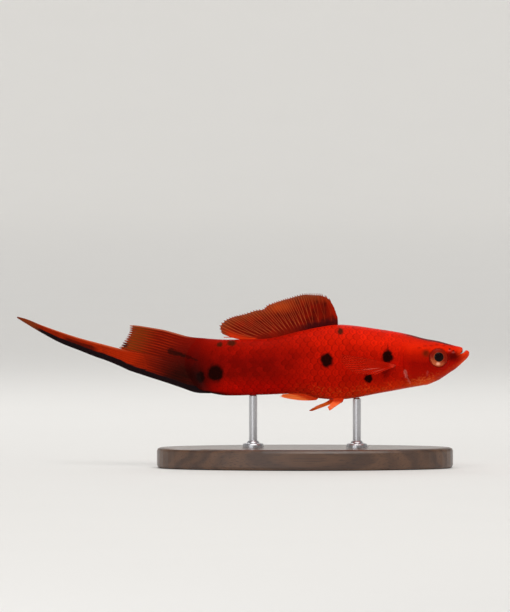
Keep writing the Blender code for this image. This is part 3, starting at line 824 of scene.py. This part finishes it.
pelvic = {
    "rays": 6, "perRay": 14, "rows": 44, "side": 1.3,
    "roots": {"right": (30.4, 33.0), "left": (31.2, 33.8)},
    "tips": {"right": [(0.0, 34.1, -11.9), (1.0, 34.5, -11.1)],
             "left": [(0.0, 38.4, -12.3), (0.5, 39.0, -12.2), (1.0, 37.6, -11.3)]},
    "splay": {"right": 3.2, "left": 2.0},
    "forks": (0.5,), "spreads": (0.22,), "rayWidth": 0.08,
    "membrane": 0.14, "ridge": 0.16, "sink": 0.55, "fray": 0.06, "flesh": 0.45,
}


def makePelvicFins():
    # Rays fan from the belly, and side grows as v^1.4.
    p = pelvic
    u, v = finGrid(p)
    made = []
    for name, sign in sides:
        ray = rayPattern(u, v, p)
        along = frayed(v, ray, p["fray"])
        rootBack = between(p["roots"][name], u)
        rootUp = skinBottom(rootBack, p["side"]) - 0.4
        back, up = fanOut(p["tips"][name], u, along, rootBack, rootUp)
        up = up + p["sink"] * (1 - ease(v, 0, 0.12))
        side = sign * (p["side"] + p["splay"][name] * v**1.4)
        flesh = p["flesh"] * (1 - ease(v, 0, 0.3))
        thickness = p["membrane"] * (1 - 0.4 * v) + flesh + p["ridge"] * ray * (1 - 0.6 * v)
        made.append(makeFin(f"pelvic_rays_{name}", (back, side, up), thickness,
                            across=u, along=v, ray=ray))
    return made


anal = {
    "rays": 6, "perRay": 14, "rows": 60, "root": (36.4, 43.4),
    "tips": [(0.0, 44.6, -9.05), (0.5, 46.3, -8.62), (1.0, 45.6, -8.10)],
    "forks": (0.7,), "spreads": (0.2,), "rayWidth": 0.12,
    "sag": 0.35, "membrane": 0.20, "ridge": 0.24, "sink": 0.6, "fray": 0.10, "flesh": 0.5,
}


def makeAnalFin():
    # The rays draw together into a rod that lies back under the tail.
    a = anal
    u, v = finGrid(a)
    ray = rayPattern(u, v, a)
    v = frayed(v, ray, a["fray"], power=6)
    rootBack = between(a["root"], u)
    rootUp = ringAt(rootBack).bottom - 0.3 + 0.35 * u
    back, up = fanOut(a["tips"], u, v, rootBack, rootUp)
    up = up - a["sag"] * (1 - u) * np.sin(pi * v) + a["sink"] * (1 - ease(v, 0, 0.12))
    flesh = a["flesh"] * (1 - ease(v, 0, 0.3)) + a["flesh"] / 2 * bell(u, 0.15, 0.2)
    thickness = a["membrane"] + flesh * (1 - 0.5 * v) + a["ridge"] * ray * (1 - 0.6 * v)
    return makeFin("anal_fin_rays", (back, 0, up), thickness, across=u, along=v, ray=ray)


# Eyes: a domed cornea over iris and pupil, sunk in the orbit
eye = {
    "back": eyeBack, "up": eyeUp, "side": 3.20, "radius": 2.28, "dome": 0.52,
    "pupil": 1.14, "pupilUp": 0.27, "lens": 0.08, "yaw": 13.0, "depth": 1.15,
    "lensEdge": (0.55, 1.12),  # in pupils
    "rings": 84, "around": 96, "domeShare": 0.7,  # of the rings
}


def makeEyes():
    # A turned profile: the dome is R - sqrt(R^2 - r^2) down from its top, with the lens
    # raised in the pupil, and an ellipse closes it behind.
    e = eye
    large = (e["radius"] ** 2 + e["dome"] ** 2) / (2 * e["dome"])
    t, share = np.linspace(0, 1, e["rings"]), e["domeShare"]
    onDome = (t < share)[:, None]
    behind = np.clip((t - share) / (1 - share), 0, 1) * pi / 2
    r = e["radius"] * np.where(t < share, t / share, np.cos(behind))
    dome = e["dome"] - large + np.sqrt(np.maximum(large**2 - r**2, 0))[:, None]
    r[[0, -1]] = 0.002
    across, rise, far = np.moveaxis(turned(r, r, e["around"]), -1, 0)
    centred = np.hypot(across, rise - e["pupilUp"] * (1 - ease(far, 1.0, 2.2)))
    dome = dome + e["lens"] * (1 - ease(centred / e["pupil"], *e["lensEdge"]))
    out = np.where(onDome, dome, -e["depth"] * np.sin(behind)[:, None])
    yaw = radians(e["yaw"])
    back = e["back"] + across * cos(yaw) - out * sin(yaw)
    side = e["side"] + across * sin(yaw) + out * cos(yaw)
    marks = {"radius": np.append(np.where(onDome, centred, e["radius"]), (0, e["radius"]))}
    made = []
    for name, sign in sides:
        points, quads, fans = capped(np.stack([back, sign * side, e["up"] + rise], -1))
        made.append(makeMesh(f"eyeball_{name}", posed(*points.T), quads, fans, marks))
    return made


# The skin's colours: stops go from the back (0) to the belly (1)
skinTones = {
    "head": [(0.0, (0.68, 0.012, 0.001)), (0.30, (0.71, 0.014, 0.001)),
             (0.42, (0.42, 0.006, 0.001)), (0.52, (0.29, 0.003, 0.001)),
             (0.74, (0.40, 0.005, 0.001)), (0.86, (0.74, 0.050, 0.006)),
             (1.0, (0.80, 0.075, 0.012))],
    "front": [(0.0, (0.69, 0.011, 0.001)), (0.25, (0.68, 0.011, 0.001)),
              (0.40, (0.45, 0.006, 0.001)), (0.54, (0.42, 0.004, 0.001)),
              (0.74, (0.52, 0.008, 0.001)), (0.88, (0.80, 0.028, 0.003)),
              (1.0, (0.78, 0.050, 0.007))],
    "rear": [(0.0, (0.42, 0.006, 0.001)), (0.22, (0.32, 0.004, 0.001)),
             (0.42, (0.19, 0.002, 0.001)), (0.62, (0.24, 0.003, 0.001)),
             (0.82, (0.52, 0.004, 0.001)), (0.95, (0.50, 0.004, 0.001)),
             (1.0, (0.20, 0.003, 0.001))],
    "flank": (0.72, 0.010, 0.001),
    "rump": (0.10, 0.002, 0.001),
    "haze": (0.050, 0.0015, 0.001),
    "lips": (0.76, 0.034, 0.005),
    # The inside of the mouth: painted shade in its hollow
    "mouth": (0.030, 0.003, 0.002),
    "throat": (0.75, 0.130, 0.028),
    "belly": (0.80, 0.105, 0.018),
    # A dark smear before the eye; the nostril pits take this tone too, as painted shade
    "smearAndPitShade": (0.075, 0.0015, 0.001),
    "jaw": (0.42, 0.008, 0.001),
    "pore": (0.36, 0.006, 0.001),
    # Pale: painted highlights on the gill cover's edge and on the nostrils' rims, and a faint
    # streak behind the eye
    "pale": (0.70, 0.24, 0.20),
    "dark": (0.006, 0.0012, 0.001),
    "olive": (0.050, 0.008, 0.002),
    "brown": (0.13, 0.010, 0.002),
    "shade": (0.17, 0.002, 0.001),
}
# Spots: back, up, half length and half height, tone
nearSpots = [
    (20.02, 1.22, 1.34, 1.58, "dark"), (24.71, -4.08, 1.02, 1.15, "dark"),
    (34.70, 0.32, 1.50, 1.66, "dark"), (31.49, 7.29, 0.72, 0.70, "olive"),
    (61.72, -2.95, 1.90, 2.10, "dark"), (57.83, 4.42, 1.15, 0.70, "olive"),
    (60.80, 3.94, 0.72, 0.62, "olive"), (10.70, 2.02, 0.95, 0.85, "brown"),
    (37.80, -4.86, 0.26, 0.26, "shade"), (55.0, -1.9, 1.1, 1.3, "shade"),
    (65.4, -3.9, 1.05, 1.35, "dark"),
]
farSpots = [
    (23.4, 2.6, 1.20, 1.10, "dark"), (29.8, -3.2, 1.00, 1.25, "dark"),
    (41.5, 1.1, 1.40, 1.30, "dark"), (37.2, 6.1, 0.75, 0.65, "olive"),
    (58.9, -1.2, 1.60, 1.70, "dark"), (52.6, 3.6, 0.80, 0.60, "olive"),
    (11.2, 2.1, 0.80, 0.85, "brown"), (47.3, -4.4, 0.55, 0.60, "shade"),
]


# How soft and how strong a spot is, by its tone
spotLooks = {"dark": (0.28, 0.99), "olive": (0.5, 0.94), "brown": (0.8, 0.9),
             "shade": (0.5, 0.5)}


def fishPlace(paint):
    # The back of a point, back and up as the side view shows them, the same bent by
    # noise, and 1 on the near side.
    x, y, z = paint.parts(paint.place)
    back = pose["lip"] - x
    behind = (back - pose["bendFrom"]).maths("MAXIMUM", 0.0)
    reach = (behind * behind + pose["bendSoftness"] ** 2) ** 0.5
    near = (y - (reach - pose["bendSoftness"]) * pose["bendSlope"]).step(0.1, -0.1)
    flat = paint.flat(back, z - pose["bodyLine"])
    bend = paint.vector("SUBTRACT", paint.noise(1.1, output="Color"), (0.5, 0.5, 0.5))
    bent = paint.vector("ADD", flat, paint.vector("MULTIPLY", bend, (1.0, 1.0, 0)))
    return back, flat, bent, near


def tailDark(paint, bent):
    # Masks of the dusky haze over the tail's fork, and of the streak and patch in it.
    haze = paint.spot(bent, 71.5, -1.6, 6.2, 4.2, 0.8)
    streak = paint.line(bent, (72.8, 2.30), (69.4, 1.20), 0.98, 0.3) * 0.9
    streak = streak | paint.line(bent, (70.0, 1.35), (66.2, 0.20), 0.62, 0.6) * 0.6
    return haze, streak, paint.spot(bent, 69.2, -5.3, 6.0, 4.2, 0.55) * 0.94


def paintFish(name, scaled):
    # Tones by girth and back, mottled by noise, then marks and spots over them.
    paint = Paint(name, skinTones, IOR=1.36, Specular_IOR_Level=0.13,
                  Specular_Tint=(1, 0.12, 0.06, 1))
    lay, spot, line = paint.lay, paint.spot, paint.line
    girth, station, drop = paint.marks("girth", "station", "drop")
    back, flat, bent, near = fishPlace(paint)
    soft, fine = paint.noise(0.35, 3.0), paint.noise(2.6, 3.0)
    girth = girth + (soft - 0.5) * 0.12
    front, rear, head = (paint.ramp(girth, skinTones[key]) for key in ("front", "rear", "head"))
    paint.colour = paint.mix((back + (soft - 0.5) * 10).step(22, 50), front, rear)
    lay(back.step(56, 68) * 0.62, "rump")
    lay(station.step(17.5, 13.5), head)
    lay(spot(flat, 32.5, -0.6, 9.0, 6.0, 0.9) * 0.38, "flank")
    mottle = paint.noise(1.7, 4.0).step(0.48, 0.70)
    lay(mottle * girth.step(0.70, 0.84) * back.step(46, 34) * 0.55, "belly")
    lay(mottle * girth.step(0.66, 0.86) * back.step(16, 12) * back.step(6, 9), "throat")
    lay(station.step(4.4, 3.0) * 0.85, "lips")
    lay(girth.step(0.70, 0.85) * back.step(1.7, 4.0) * back.step(10.5, 7.0) * 0.8, "jaw")
    lay(spot(bent, 4.05, 1.30, 1.60, 1.05, 0.7) * 0.88, "smearAndPitShade")
    behind = (back + (fine - 0.5) * 4 + (soft - 0.5) * 6).step(17.5, 12.5)
    nape = (drop + (fine - 0.5) * 0.6).step(0.62, 0.18) * behind
    nape = nape * (back + (fine - 0.5) * 2).step(2.8, 6.0)
    lay(nape * (0.68 + fine * 0.3), "dark")
    lay(drop.step(1.8, 0.3) * back.step(7, 11) * back.step(18, 14) * 0.3, "shade")
    for pit in headRelief["pores"]:
        lay(spot(flat, *pit, 0.46, 0.18, 0.95) * 0.7, "pore")
    # Each nostril: painted shade in its pit, in the smear's tone, and a painted pinkish
    # highlight on its rim
    for pitBack, pitUp in headRelief["nostrils"]:
        lay(spot(flat, pitBack, pitUp, 0.24, 0.2, 0.6) * 0.85, "smearAndPitShade")
        lay(spot(flat, pitBack + 0.05, pitUp - 0.30, 0.34, 0.18, 0.95) * 0.18, "pale")
    # A painted highlight along the gill cover's lower rear edge, on the near side
    cover = line(bent, (15.75, -2.3), (15.50, -3.6), 0.50)
    cover = cover | line(bent, (15.5, -3.6), (14.4, -5.2), 0.30) * 0.6
    lay(cover * near * 0.36, "pale")
    lay(line(bent, (10.3, -2.4), (10.4, -3.4), 0.35) * 0.10, "pale")
    lay(spot(bent, 20.4, -2.9, 0.9, 1.3, 0.8) * 0.75, "shade")
    if scaled:
        reach, across, chance = paint.marks("reach", "across", "chance")
        lay(reach.step(0.84, 0.98) * (0.28 + back.step(16, 36) * 0.3), "shade")
        heart = reach.bell(0.72, 0.10) * across.bell(0.0, 0.45)
        lay(heart * chance.step(0.2, 0.9) * 0.45, "shade")
        paint.shade(0.88 + chance * 0.34)
    paint.shade(0.80 + fine * 0.42)
    haze, streak, patch = tailDark(paint, bent)
    lay(haze * 0.7, "haze")
    edge = back.step(52, 63) * girth.step(0.86, 0.97)
    lay((patch | edge | streak * near) * 0.98, "dark")
    for spots, here in ((nearSpots, near), (farSpots, 1 - near)):
        for *ellipse, tone in spots:
            blur, strength = spotLooks[tone]
            lay(spot(bent, *ellipse, blur) * here * strength, tone)
    lay(line(bent, (19.9, 1.5), (19.95, 4.0), 0.60, 0.75) * near * 0.5, "dark")
    # Painted shade inside the mouth: the hollow behind the lips is painted dark
    lay(station.step(skin["mouthDepth"] + 0.4, skin["mouthDepth"] - 0.5) * 0.95, "mouth")
    normal = paint.bump(paint.noise(7.0), 0.010)
    normal = paint.bump(paint.noise(1.6), 0.030, normal=normal)
    return paint.finish(Roughness=0.34 + fine * 0.14, Normal=normal)


finTones = {
    "dorsal": {"membrane": (0.155, 0.004, 0.001), "edge": (0.22, 0.032, 0.006),
               "ray": (0.52, 0.092, 0.026), "rayFront": (0.32, 0.024, 0.006),
               "spot": (0.030, 0.001, 0.001), "base": (0.030, 0.001, 0.003),
               "rear": (0.66, 0.034, 0.004), "front": (0.34, 0.008, 0.001),
               "pale": (0.46, 0.10, 0.030), "warm": (0.54, 0.060, 0.006)},
    "caudal": {"membrane": (0.15, 0.004, 0.001), "edge": (0.19, 0.042, 0.005),
               "ray": (0.50, 0.024, 0.002), "dark": (0.007, 0.001, 0.001),
               "top": (0.50, 0.14, 0.07), "orange": (0.40, 0.018, 0.001),
               "rust": (0.28, 0.013, 0.001), "swordHighlight": (0.60, 0.12, 0.04),
               # The sword's top-edge tone is a painted highlight
               "deep": (0.06, 0.002, 0.001), "black": (0.003, 0.0028, 0.0050),
               "tip": (0.20, 0.034, 0.008)},
    # The pectoral fins' pale tone is for painted highlights, streaks on the lowest rays
    "pectoral": {"membrane": (0.46, 0.006, 0.001), "ray": (0.62, 0.014, 0.002),
                 "pale": (0.85, 0.20, 0.14), "root": (0.92, 0.060, 0.030)},
    # The pelvic and anal fins' own orange and red, made very bright as painted light for light
    # that shines through them
    "orange": {"membrane": (0.85, 0.15, 0.014), "ray": (0.62, 0.08, 0.009)},
    "red": {"membrane": (0.98, 0.16, 0.040), "ray": (1.00, 0.26, 0.080)},
    "rod": {"membrane": (0.95, 0.17, 0.030), "ray": (1.00, 0.36, 0.120)},
    "root": (0.62, 0.020, 0.002),
}
# Soft blotches on the dorsal fin: back, up, half length, half height
dorsalBlotches = [
    (39.6, 13.3, 0.50, 0.62), (35.3, 13.7, 0.38, 0.70), (35.4, 11.6, 0.42, 0.85),
    (37.9, 12.1, 0.50, 0.55), (38.1, 10.3, 0.60, 0.60), (42.1, 11.7, 0.75, 0.55),
    (44.1, 11.0, 0.80, 0.50), (39.8, 9.9, 0.70, 0.45), (33.4, 10.4, 0.45, 0.60),
    (47.6, 9.2, 1.00, 0.35), (41.9, 14.4, 0.40, 0.60), (37.3, 14.2, 0.35, 0.50),
    (35.2, 9.9, 0.60, 0.50), (43.0, 9.3, 0.80, 0.40), (50.5, 9.6, 1.00, 0.35),
    (46.4, 11.2, 0.70, 0.40),
]


def finPaint(name, tones):
    return Paint(name, finTones[tones], IOR=1.36, Specular_IOR_Level=0.16,
                 Specular_Tint=(1, 0.35, 0.2, 1))


def finFinish(paint, along, ray, alpha, **more):
    # The rays' joints are fine rings across them.
    joint = (along * 190).maths("SINE") * ray.step(0.3, 0.8)
    normal = paint.bump(paint.noise(3.0, 3.0), 0.02, normal=paint.bump(joint, 0.012))
    rough = 0.38 + paint.noise(2.0) * 0.12
    return paint.finish(Roughness=rough, Alpha=alpha, Normal=normal, **more)


def paintDorsal():
    # Dark spots stand in rows between the rays, thickest at the front of the base.
    paint = finPaint("dorsal_fin_paint", "dorsal")
    lay = paint.lay
    across, along, ray, height = paint.marks("across", "along", "ray", "height")
    _, _, bent, _ = fishPlace(paint)
    paint.colour = paint.mix(along.step(0.60, 1.0), "membrane", "edge")
    lay(across.step(0.14, 0.02) * 0.8, "front")
    lay(paint.noise(0.45, 3.0).step(0.45, 0.7) * 0.35, "front")
    lay(paint.spot(bent, 46.2, 13.3, 2.6, 1.2, 0.95) * 0.6, "warm")
    for back, up, wide, tall in dorsalBlotches:
        blotch = paint.spot(bent, back, up, wide * 1.1, tall * 1.1, 0.95)
        lay(blotch * (0.6 if back < 39 else 0.36), "spot")
    off = (across * (dorsal["rays"] - 1)).maths("FRACT") - 0.5
    base = height + off.maths("ABSOLUTE") * 0.9 + (paint.noise(0.8) - 0.5)
    lay(base.step(2.1, 0.6) * across.step(0.62, 0.30) * 0.88, "base")
    rayTone = paint.mix(across.step(0.10, 0.45), "rayFront", "ray")
    rayTone = paint.mix(along.step(0.7, 1.0) * 0.4, rayTone, "pale")
    lay(ray.step(0.2, 0.8) * along.step(0.03, 0.2) * 0.6, rayTone)
    lay(across.step(0.93, 0.985) * along.step(0.95, 0.6), "rear")
    alpha = 1 - along.step(0.80, 1.0) * (1 - ray.step(0.2, 0.6)) * 0.18
    return finFinish(paint, along, ray, alpha)


def paintTail():
    # Fine lines on the fin, dusky towards its rear edge, with a streak and a dark lower base.
    # From there a black band runs on under the orange of the sword, to a brown tip.
    paint = finPaint("tail_paint", "caudal")
    lay = paint.lay
    across, along, ray, down = paint.marks("across", "along", "ray", "down")
    back, _, bent, near = fishPlace(paint)
    long = paint.vector("MULTIPLY", paint.place, (0.30, 1, 1))
    soft = paint.noise(0.9, 3.0, where=long)
    flesh = paint.mix(0.62, paint.ramp(across, skinTones["rear"]), skinTones["rump"])
    paint.colour = paint.mix(along.step(0.14, 0.55), flesh, "membrane")
    lines = ray.step(0.1, 0.9)
    uneven = paint.noise(1.0, 1.0, where=paint.flat(across * 60, along * 4)).step(0.3, 0.7)
    lay(lines * along.step(0.16, 0.52) * (0.25 + uneven * 0.5), "ray")
    rear = along.step(0.55, 0.98) * across.step(0.60, 0.50)
    lay(rear * (1 - lines * 0.55) * 0.85, "edge")
    lay(across.step(0.034, 0.012) * along.step(0.1, 0.4) * 0.7, "top")
    orange = paint.mix(back.step(89, 99), "orange", "rust")
    orange = paint.mix((1 - lines) * 0.25 + soft.step(0.5, 0.75) * 0.25, orange, "deep")
    lay(down.step(-0.08, 0.06) * back.step(74, 84), orange)
    maroon = (down + (soft - 0.5) * 0.12).step(0.26, 0.38)
    lay(maroon * back.step(89.5, 92) * back.step(99.5, 97.5) * 0.85, "deep")
    # A painted highlight: a thin pale orange line along the top edge of the sword
    swordHighlight = down.step(0.14, 0.03) * down.step(-0.05, 0.0) * back.step(82, 88)
    lay(swordHighlight * 0.7, "swordHighlight")
    haze, streak, patch = tailDark(paint, bent)
    lay(haze * 0.75, skinTones["haze"])
    spot = paint.spot(bent, 83.9, 3.7, 0.7, 0.5, 0.6) * 0.8
    dark = (streak * near * (1 - lines * 0.15)) | (patch * (1 - lines * 0.1)) | spot
    lay(dark * 0.98, "dark")
    band = down + (soft - 0.5) * 0.10 - 0.03  # the black band widens backwards
    band = band + back.step(80, 87) * 0.13 + back.step(93, 97) * 0.04
    lay(band.step(0.65, 0.73), "black")
    lay(back.step(104, 106.5) * 0.9, "tip")
    alpha = 1 - along.step(0.88, 0.999) * (1 - lines) * across.step(0.57, 0.50) * 0.2
    return finFinish(paint, back / 34, ray, alpha)


def paintSmallFin(name, tones, alpha):
    # The pectoral fins have two pale streaks on the lowest rays, which are painted highlights,
    # and a bright root. The roots of the others are red like the belly; these fins are bright
    # and glow faintly in their own colour, painted light for the light that shines through them.
    paint = finPaint(name, tones)
    across, along, ray = paint.marks("across", "along", "ray")
    lines = ray.step(0.2, 0.75)
    paint.colour = paint.mix(lines * 0.8, "membrane", "ray")
    paint.shade(0.8 + paint.noise(0.7, 3.0) * 0.4)
    clear = 1 - along.step(0.2, 0.9) * (1 - lines) * (1 - alpha)
    if tones == "pectoral":
        # Painted highlights: two pale streaks along the lowest rays
        streaks = across.bell(0.66, 0.020) | across.bell(0.88, 0.020)
        paint.lay(streaks * along.step(0.40, 0.55) * along.step(0.85, 0.65) * 0.5, "pale")
        paint.lay(along.step(0.26, 0.04) * 0.8, "root")
        return finFinish(paint, along, ray, clear)
    paint.lay(along.step(0.42, 0.10) * 0.9, finTones["root"])
    # A faint glow in the fin's own colour: painted light for the light that shines through the
    # thin fin
    return finFinish(paint, along, ray, clear, Emission_Color=paint.colour,
                     Emission_Strength=0.16)


irisTones = {
    "pupil": (0.008, 0.003, 0.003),
    "inner": (0.52, 0.12, 0.038),
    "upper": (0.25, 0.009, 0.002),
    "lower": (0.60, 0.13, 0.045),
    "glint": (1.0, 0.44, 0.28),
    "rim": (0.26, 0.008, 0.002),
}


def paintEye():
    # Rings by the distance from the eye's axis; the iris is brown-red above and gold below.
    paint = Paint("eye_paint", irisTones, IOR=1.36, Specular_IOR_Level=0.06,
                  Coat_Weight=0.035, Coat_Roughness=0.03)
    (radius,) = paint.marks("radius")
    x, _, z = paint.parts(paint.place)
    behind, up = pose["lip"] - eye["back"] - x, z - (pose["bodyLine"] + eye["up"])
    fibres = paint.noise(4.5, 4.0)
    lower = (up + behind * -0.35 + (fibres - 0.5) * 0.9).step(-0.1, -1.8)
    paint.colour = paint.mix(lower, "upper", "lower")
    paint.lay(fibres.step(0.45, 0.7) * 0.4, "upper")
    paint.lay(radius.step(1.38, 1.20) * (0.25 + (behind - up).step(-1.2, 0.8) * 0.5), "inner")
    glint = paint.spot(paint.flat(behind, up), 0.12, -1.40, 0.435, 0.3346, 0.655)
    paint.lay(glint * 0.95, "glint")
    paint.lay((radius + (fibres - 0.5) * 0.2).step(1.92, 2.12), "rim")
    pupil = radius.step(1.26, 1.10)
    paint.lay(pupil, "pupil")
    metal = (1 - pupil) * radius.step(2.1, 1.85) * 0.1
    return paint.finish(Roughness=0.30 - pupil * 0.22, Metallic=metal)


woodTones = {
    "light": (0.110, 0.048, 0.021),
    "dark": (0.058, 0.024, 0.011),
    "grain": (0.022, 0.009, 0.005),
}


def paintWood():
    # Rings of a trunk far to one side, stretched along X, with fine pores.
    paint = Paint("walnut", woodTones, IOR=1.5, Coat_Weight=0.5, Coat_Roughness=0.12)
    long = paint.vector("MULTIPLY", paint.place, (0.10, 1.0, 1.0))
    sway = paint.noise(0.10, 3.0, where=long, output="Color")
    _, y, z = paint.parts(paint.vector("ADD", long, paint.vector("SCALE", sway, Scale=11.0)))
    turn = (y + z * 0.45) * 2.3
    rings = turn.maths("SINE") * 0.6 + (turn * 0.37).maths("SINE") * 0.4
    paint.colour = paint.mix(rings.step(-0.9, 0.9), "dark", "light")
    fibre = paint.noise(2.6, 4.0, where=paint.vector("MULTIPLY", paint.place, (0.05, 1.6, 1.6)))
    paint.lay(fibre.step(0.5, 0.70) * 0.6, "grain")
    return paint.finish(Roughness=0.36 + fibre * 0.16, Normal=paint.bump(fibre, 0.03, 0.5))


def paintSteel():
    # Brushed along the rod: noise stretched in Z.
    paint = Paint("brushed_steel", Metallic=1.0)
    paint.colour = (0.56, 0.56, 0.58)
    brushed = paint.noise(9.0, where=paint.vector("MULTIPLY", paint.place, (1, 1, 0.05)))
    rough = 0.20 + brushed * 0.18
    return paint.finish(Roughness=rough, Normal=paint.bump(brushed, 0.01, 0.6))


# The rods' trims: a collar at each foot and a pin into the belly
trims = {
    "collar": [(1.0, -0.35), (2.6, -0.35), (2.6, 0.25), (2.35, 0.55), (1.55, 0.75), (1.25, 1.2),
               (1.0, 1.35)],
    "pin": [(0.02, -1.2), (0.95, -1.2), (0.95, -0.02), (0.78, 0.18), (0.55, 0.32), (0.5, 1.3),
            (0.02, 1.3)],
    "around": 48,
}


def makeTrims(name):
    # Two turned profiles: radius and height, carried round the rod's axis.
    low, high = (np.array(corner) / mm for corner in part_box(f"stand_rod_{name}"))
    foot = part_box("stand_base")[1][2] / mm
    made = []
    for part, level in (("collar", foot + 0.35), ("pin", high[2])):
        profile = np.array(trims[part])
        middle = (*((low + high) / 2)[:2], level)
        points, quads, fans = capped((turned(*profile.T, trims["around"]) + middle) * mm)
        if part == "collar":  # its bore closes it
            first = np.arange(trims["around"])
            last = first + (len(profile) - 1) * trims["around"]
            bore = np.stack([last, np.roll(last, -1), np.roll(first, -1), first], -1)
            points, quads, fans = points[:-2], np.concatenate([quads, bore]), None
        piece = makeMesh(f"stand_{part}_{name}", points, quads, fans)
        piece.data.set_sharp_from_angle(angle=radians(35))
        made.append(piece)
    return made


def makePieces():
    put(makeSkin(), ["head", "torso", "tail_peduncle"], paintFish("skin_paint", False))
    put(makeScales(), [], paintFish("scale_paint", True))
    put(makeDorsalFin(), ["dorsal_fin"], paintDorsal())
    tail = paintTail()
    put(makeCaudalFin(), ["caudal_fin"], tail)
    put(makeSword(), ["sword"], tail)
    paint = paintSmallFin("pectoral_paint", "pectoral", 0.50)
    for piece, name in zip(makePectoralFins(), ("left", "right")):
        put(piece, [f"pectoral_fin_{name}"], paint)
    for piece, (name, tones) in zip(makePelvicFins(), (("left", "orange"), ("right", "red"))):
        paint = paintSmallFin(f"pelvic_{name}_paint", tones, 0.75)
        put(piece, [f"pelvic_fin_{name}"], paint)
    put(makeAnalFin(), ["anal_fin"], paintSmallFin("anal_fin_paint", "rod", 0.9))
    paint = paintEye()
    for piece, name in zip(makeEyes(), ("left", "right")):
        put(piece, [f"eye_{name}"], paint)
    steel = paintSteel()
    for name in ("front", "rear"):
        for piece in makeTrims(name):
            put(piece, [], steel)
        dress(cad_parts[f"stand_rod_{name}"], steel)
    dress(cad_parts["stand_base"], paintWood())


def dress(node, material):  # a solid of the frame that shows as it is
    node.data.materials.clear()
    node.data.materials.append(material)


# The studio: a pale floor that curves up into the backdrop, soft lamps and the camera
studio = {
    "floor": (0.80, 0.79, 0.77),
    "sweep": (3.4, 1.4, 3.2),  # radius of the floor, of its upward curve, and the height
    "around": 96,
    "world": (0.95, 0.97, 1.0), "worldStrength": 0.34,
    "lamps": {  # kind, place, size (a sun's in degrees), strength, colour
        "sun": ("SUN", (0.15, -0.55, 1.2), 60.0, 1.50, (1.0, 0.98, 0.95)),
        "key": ("AREA", (0.10, -0.42, 0.62), 0.42, 0.90, (1.0, 0.96, 0.92)),
        "fill": ("AREA", (-0.32, -0.78, 0.07), 0.60, 1.45, (0.97, 0.98, 1.0)),
        "rim": ("AREA", (-0.10, 0.45, 0.50), 0.40, 0.8, (1.0, 1.0, 1.0)),
    },
    "target": (-0.01215, 0.0, 0.03937), "elevation": 1.5, "distance": 2.5,
    "frame": (510, 612), "mmPerPixel": 0.243,
}


def aim(made, place, target):
    made.location = place
    made.rotation_euler = (target - Vector(place)).to_track_quat("-Z", "Y").to_euler()


def makeStudio():
    # A bowl: the floor, a quarter circle and a wall, carried round the Z axis.
    s = studio
    flat, radius, height = s["sweep"]
    bend = np.linspace(0, pi / 2, 24)
    out = np.concatenate([[0.002, 0.4, 1.5], flat + radius * np.sin(bend), [flat + radius]])
    rise = np.concatenate([[0, 0, 0], radius * (1 - np.cos(bend)), [height]])
    grid = turned(out, rise, s["around"])
    mesh = bpy.data.meshes.new("floor")
    faces = gridQuads(len(out), s["around"], closed=True)[:, ::-1].tolist()
    mesh.from_pydata(grid.reshape(-1, 3).tolist(), [], faces + [list(range(s["around"]))])
    mesh.shade_smooth()
    floor = addObject("floor", mesh)
    paint = Paint("floor_paper")
    near = tuple(c * 0.985 for c in s["floor"])
    paint.colour = paint.mix(paint.noise(0.02), near, s["floor"])
    mesh.materials.append(paint.finish(Roughness=0.9))
    world = bpy.data.worlds.new("studio")
    world.use_nodes = True
    sky = world.node_tree.nodes["Background"]
    sky.inputs["Color"].default_value = (*s["world"], 1)
    sky.inputs["Strength"].default_value = s["worldStrength"]
    bpy.context.scene.world = world
    target = Vector(s["target"])
    for name, (kind, place, size, strength, colour) in s["lamps"].items():
        data = bpy.data.lights.new(name, kind)
        data.energy, data.color = strength, colour
        if kind == "SUN":
            data.angle = radians(size)
        else:
            data.shape, data.size = "DISK", size
        lamp = addObject(name, data)
        aim(lamp, place, target)
        lamp.visible_camera = False
    data = bpy.data.cameras.new("camera")
    high = s["frame"][1] * s["mmPerPixel"] * mm  # the long side sets the lens
    data.sensor_width, data.lens = 36.0, 36.0 * s["distance"] / high
    data.clip_start, data.clip_end = 0.05, 20.0
    camera = addObject("camera", data)
    tilt = radians(s["elevation"])
    aim(camera, target + Vector((0, -cos(tilt), sin(tilt))) * s["distance"], target)
    bpy.context.scene.camera = camera
    bpy.context.scene.view_settings.view_transform = "Standard"
    print("studio: floor, lamps and camera")


makePieces()
makeStudio()
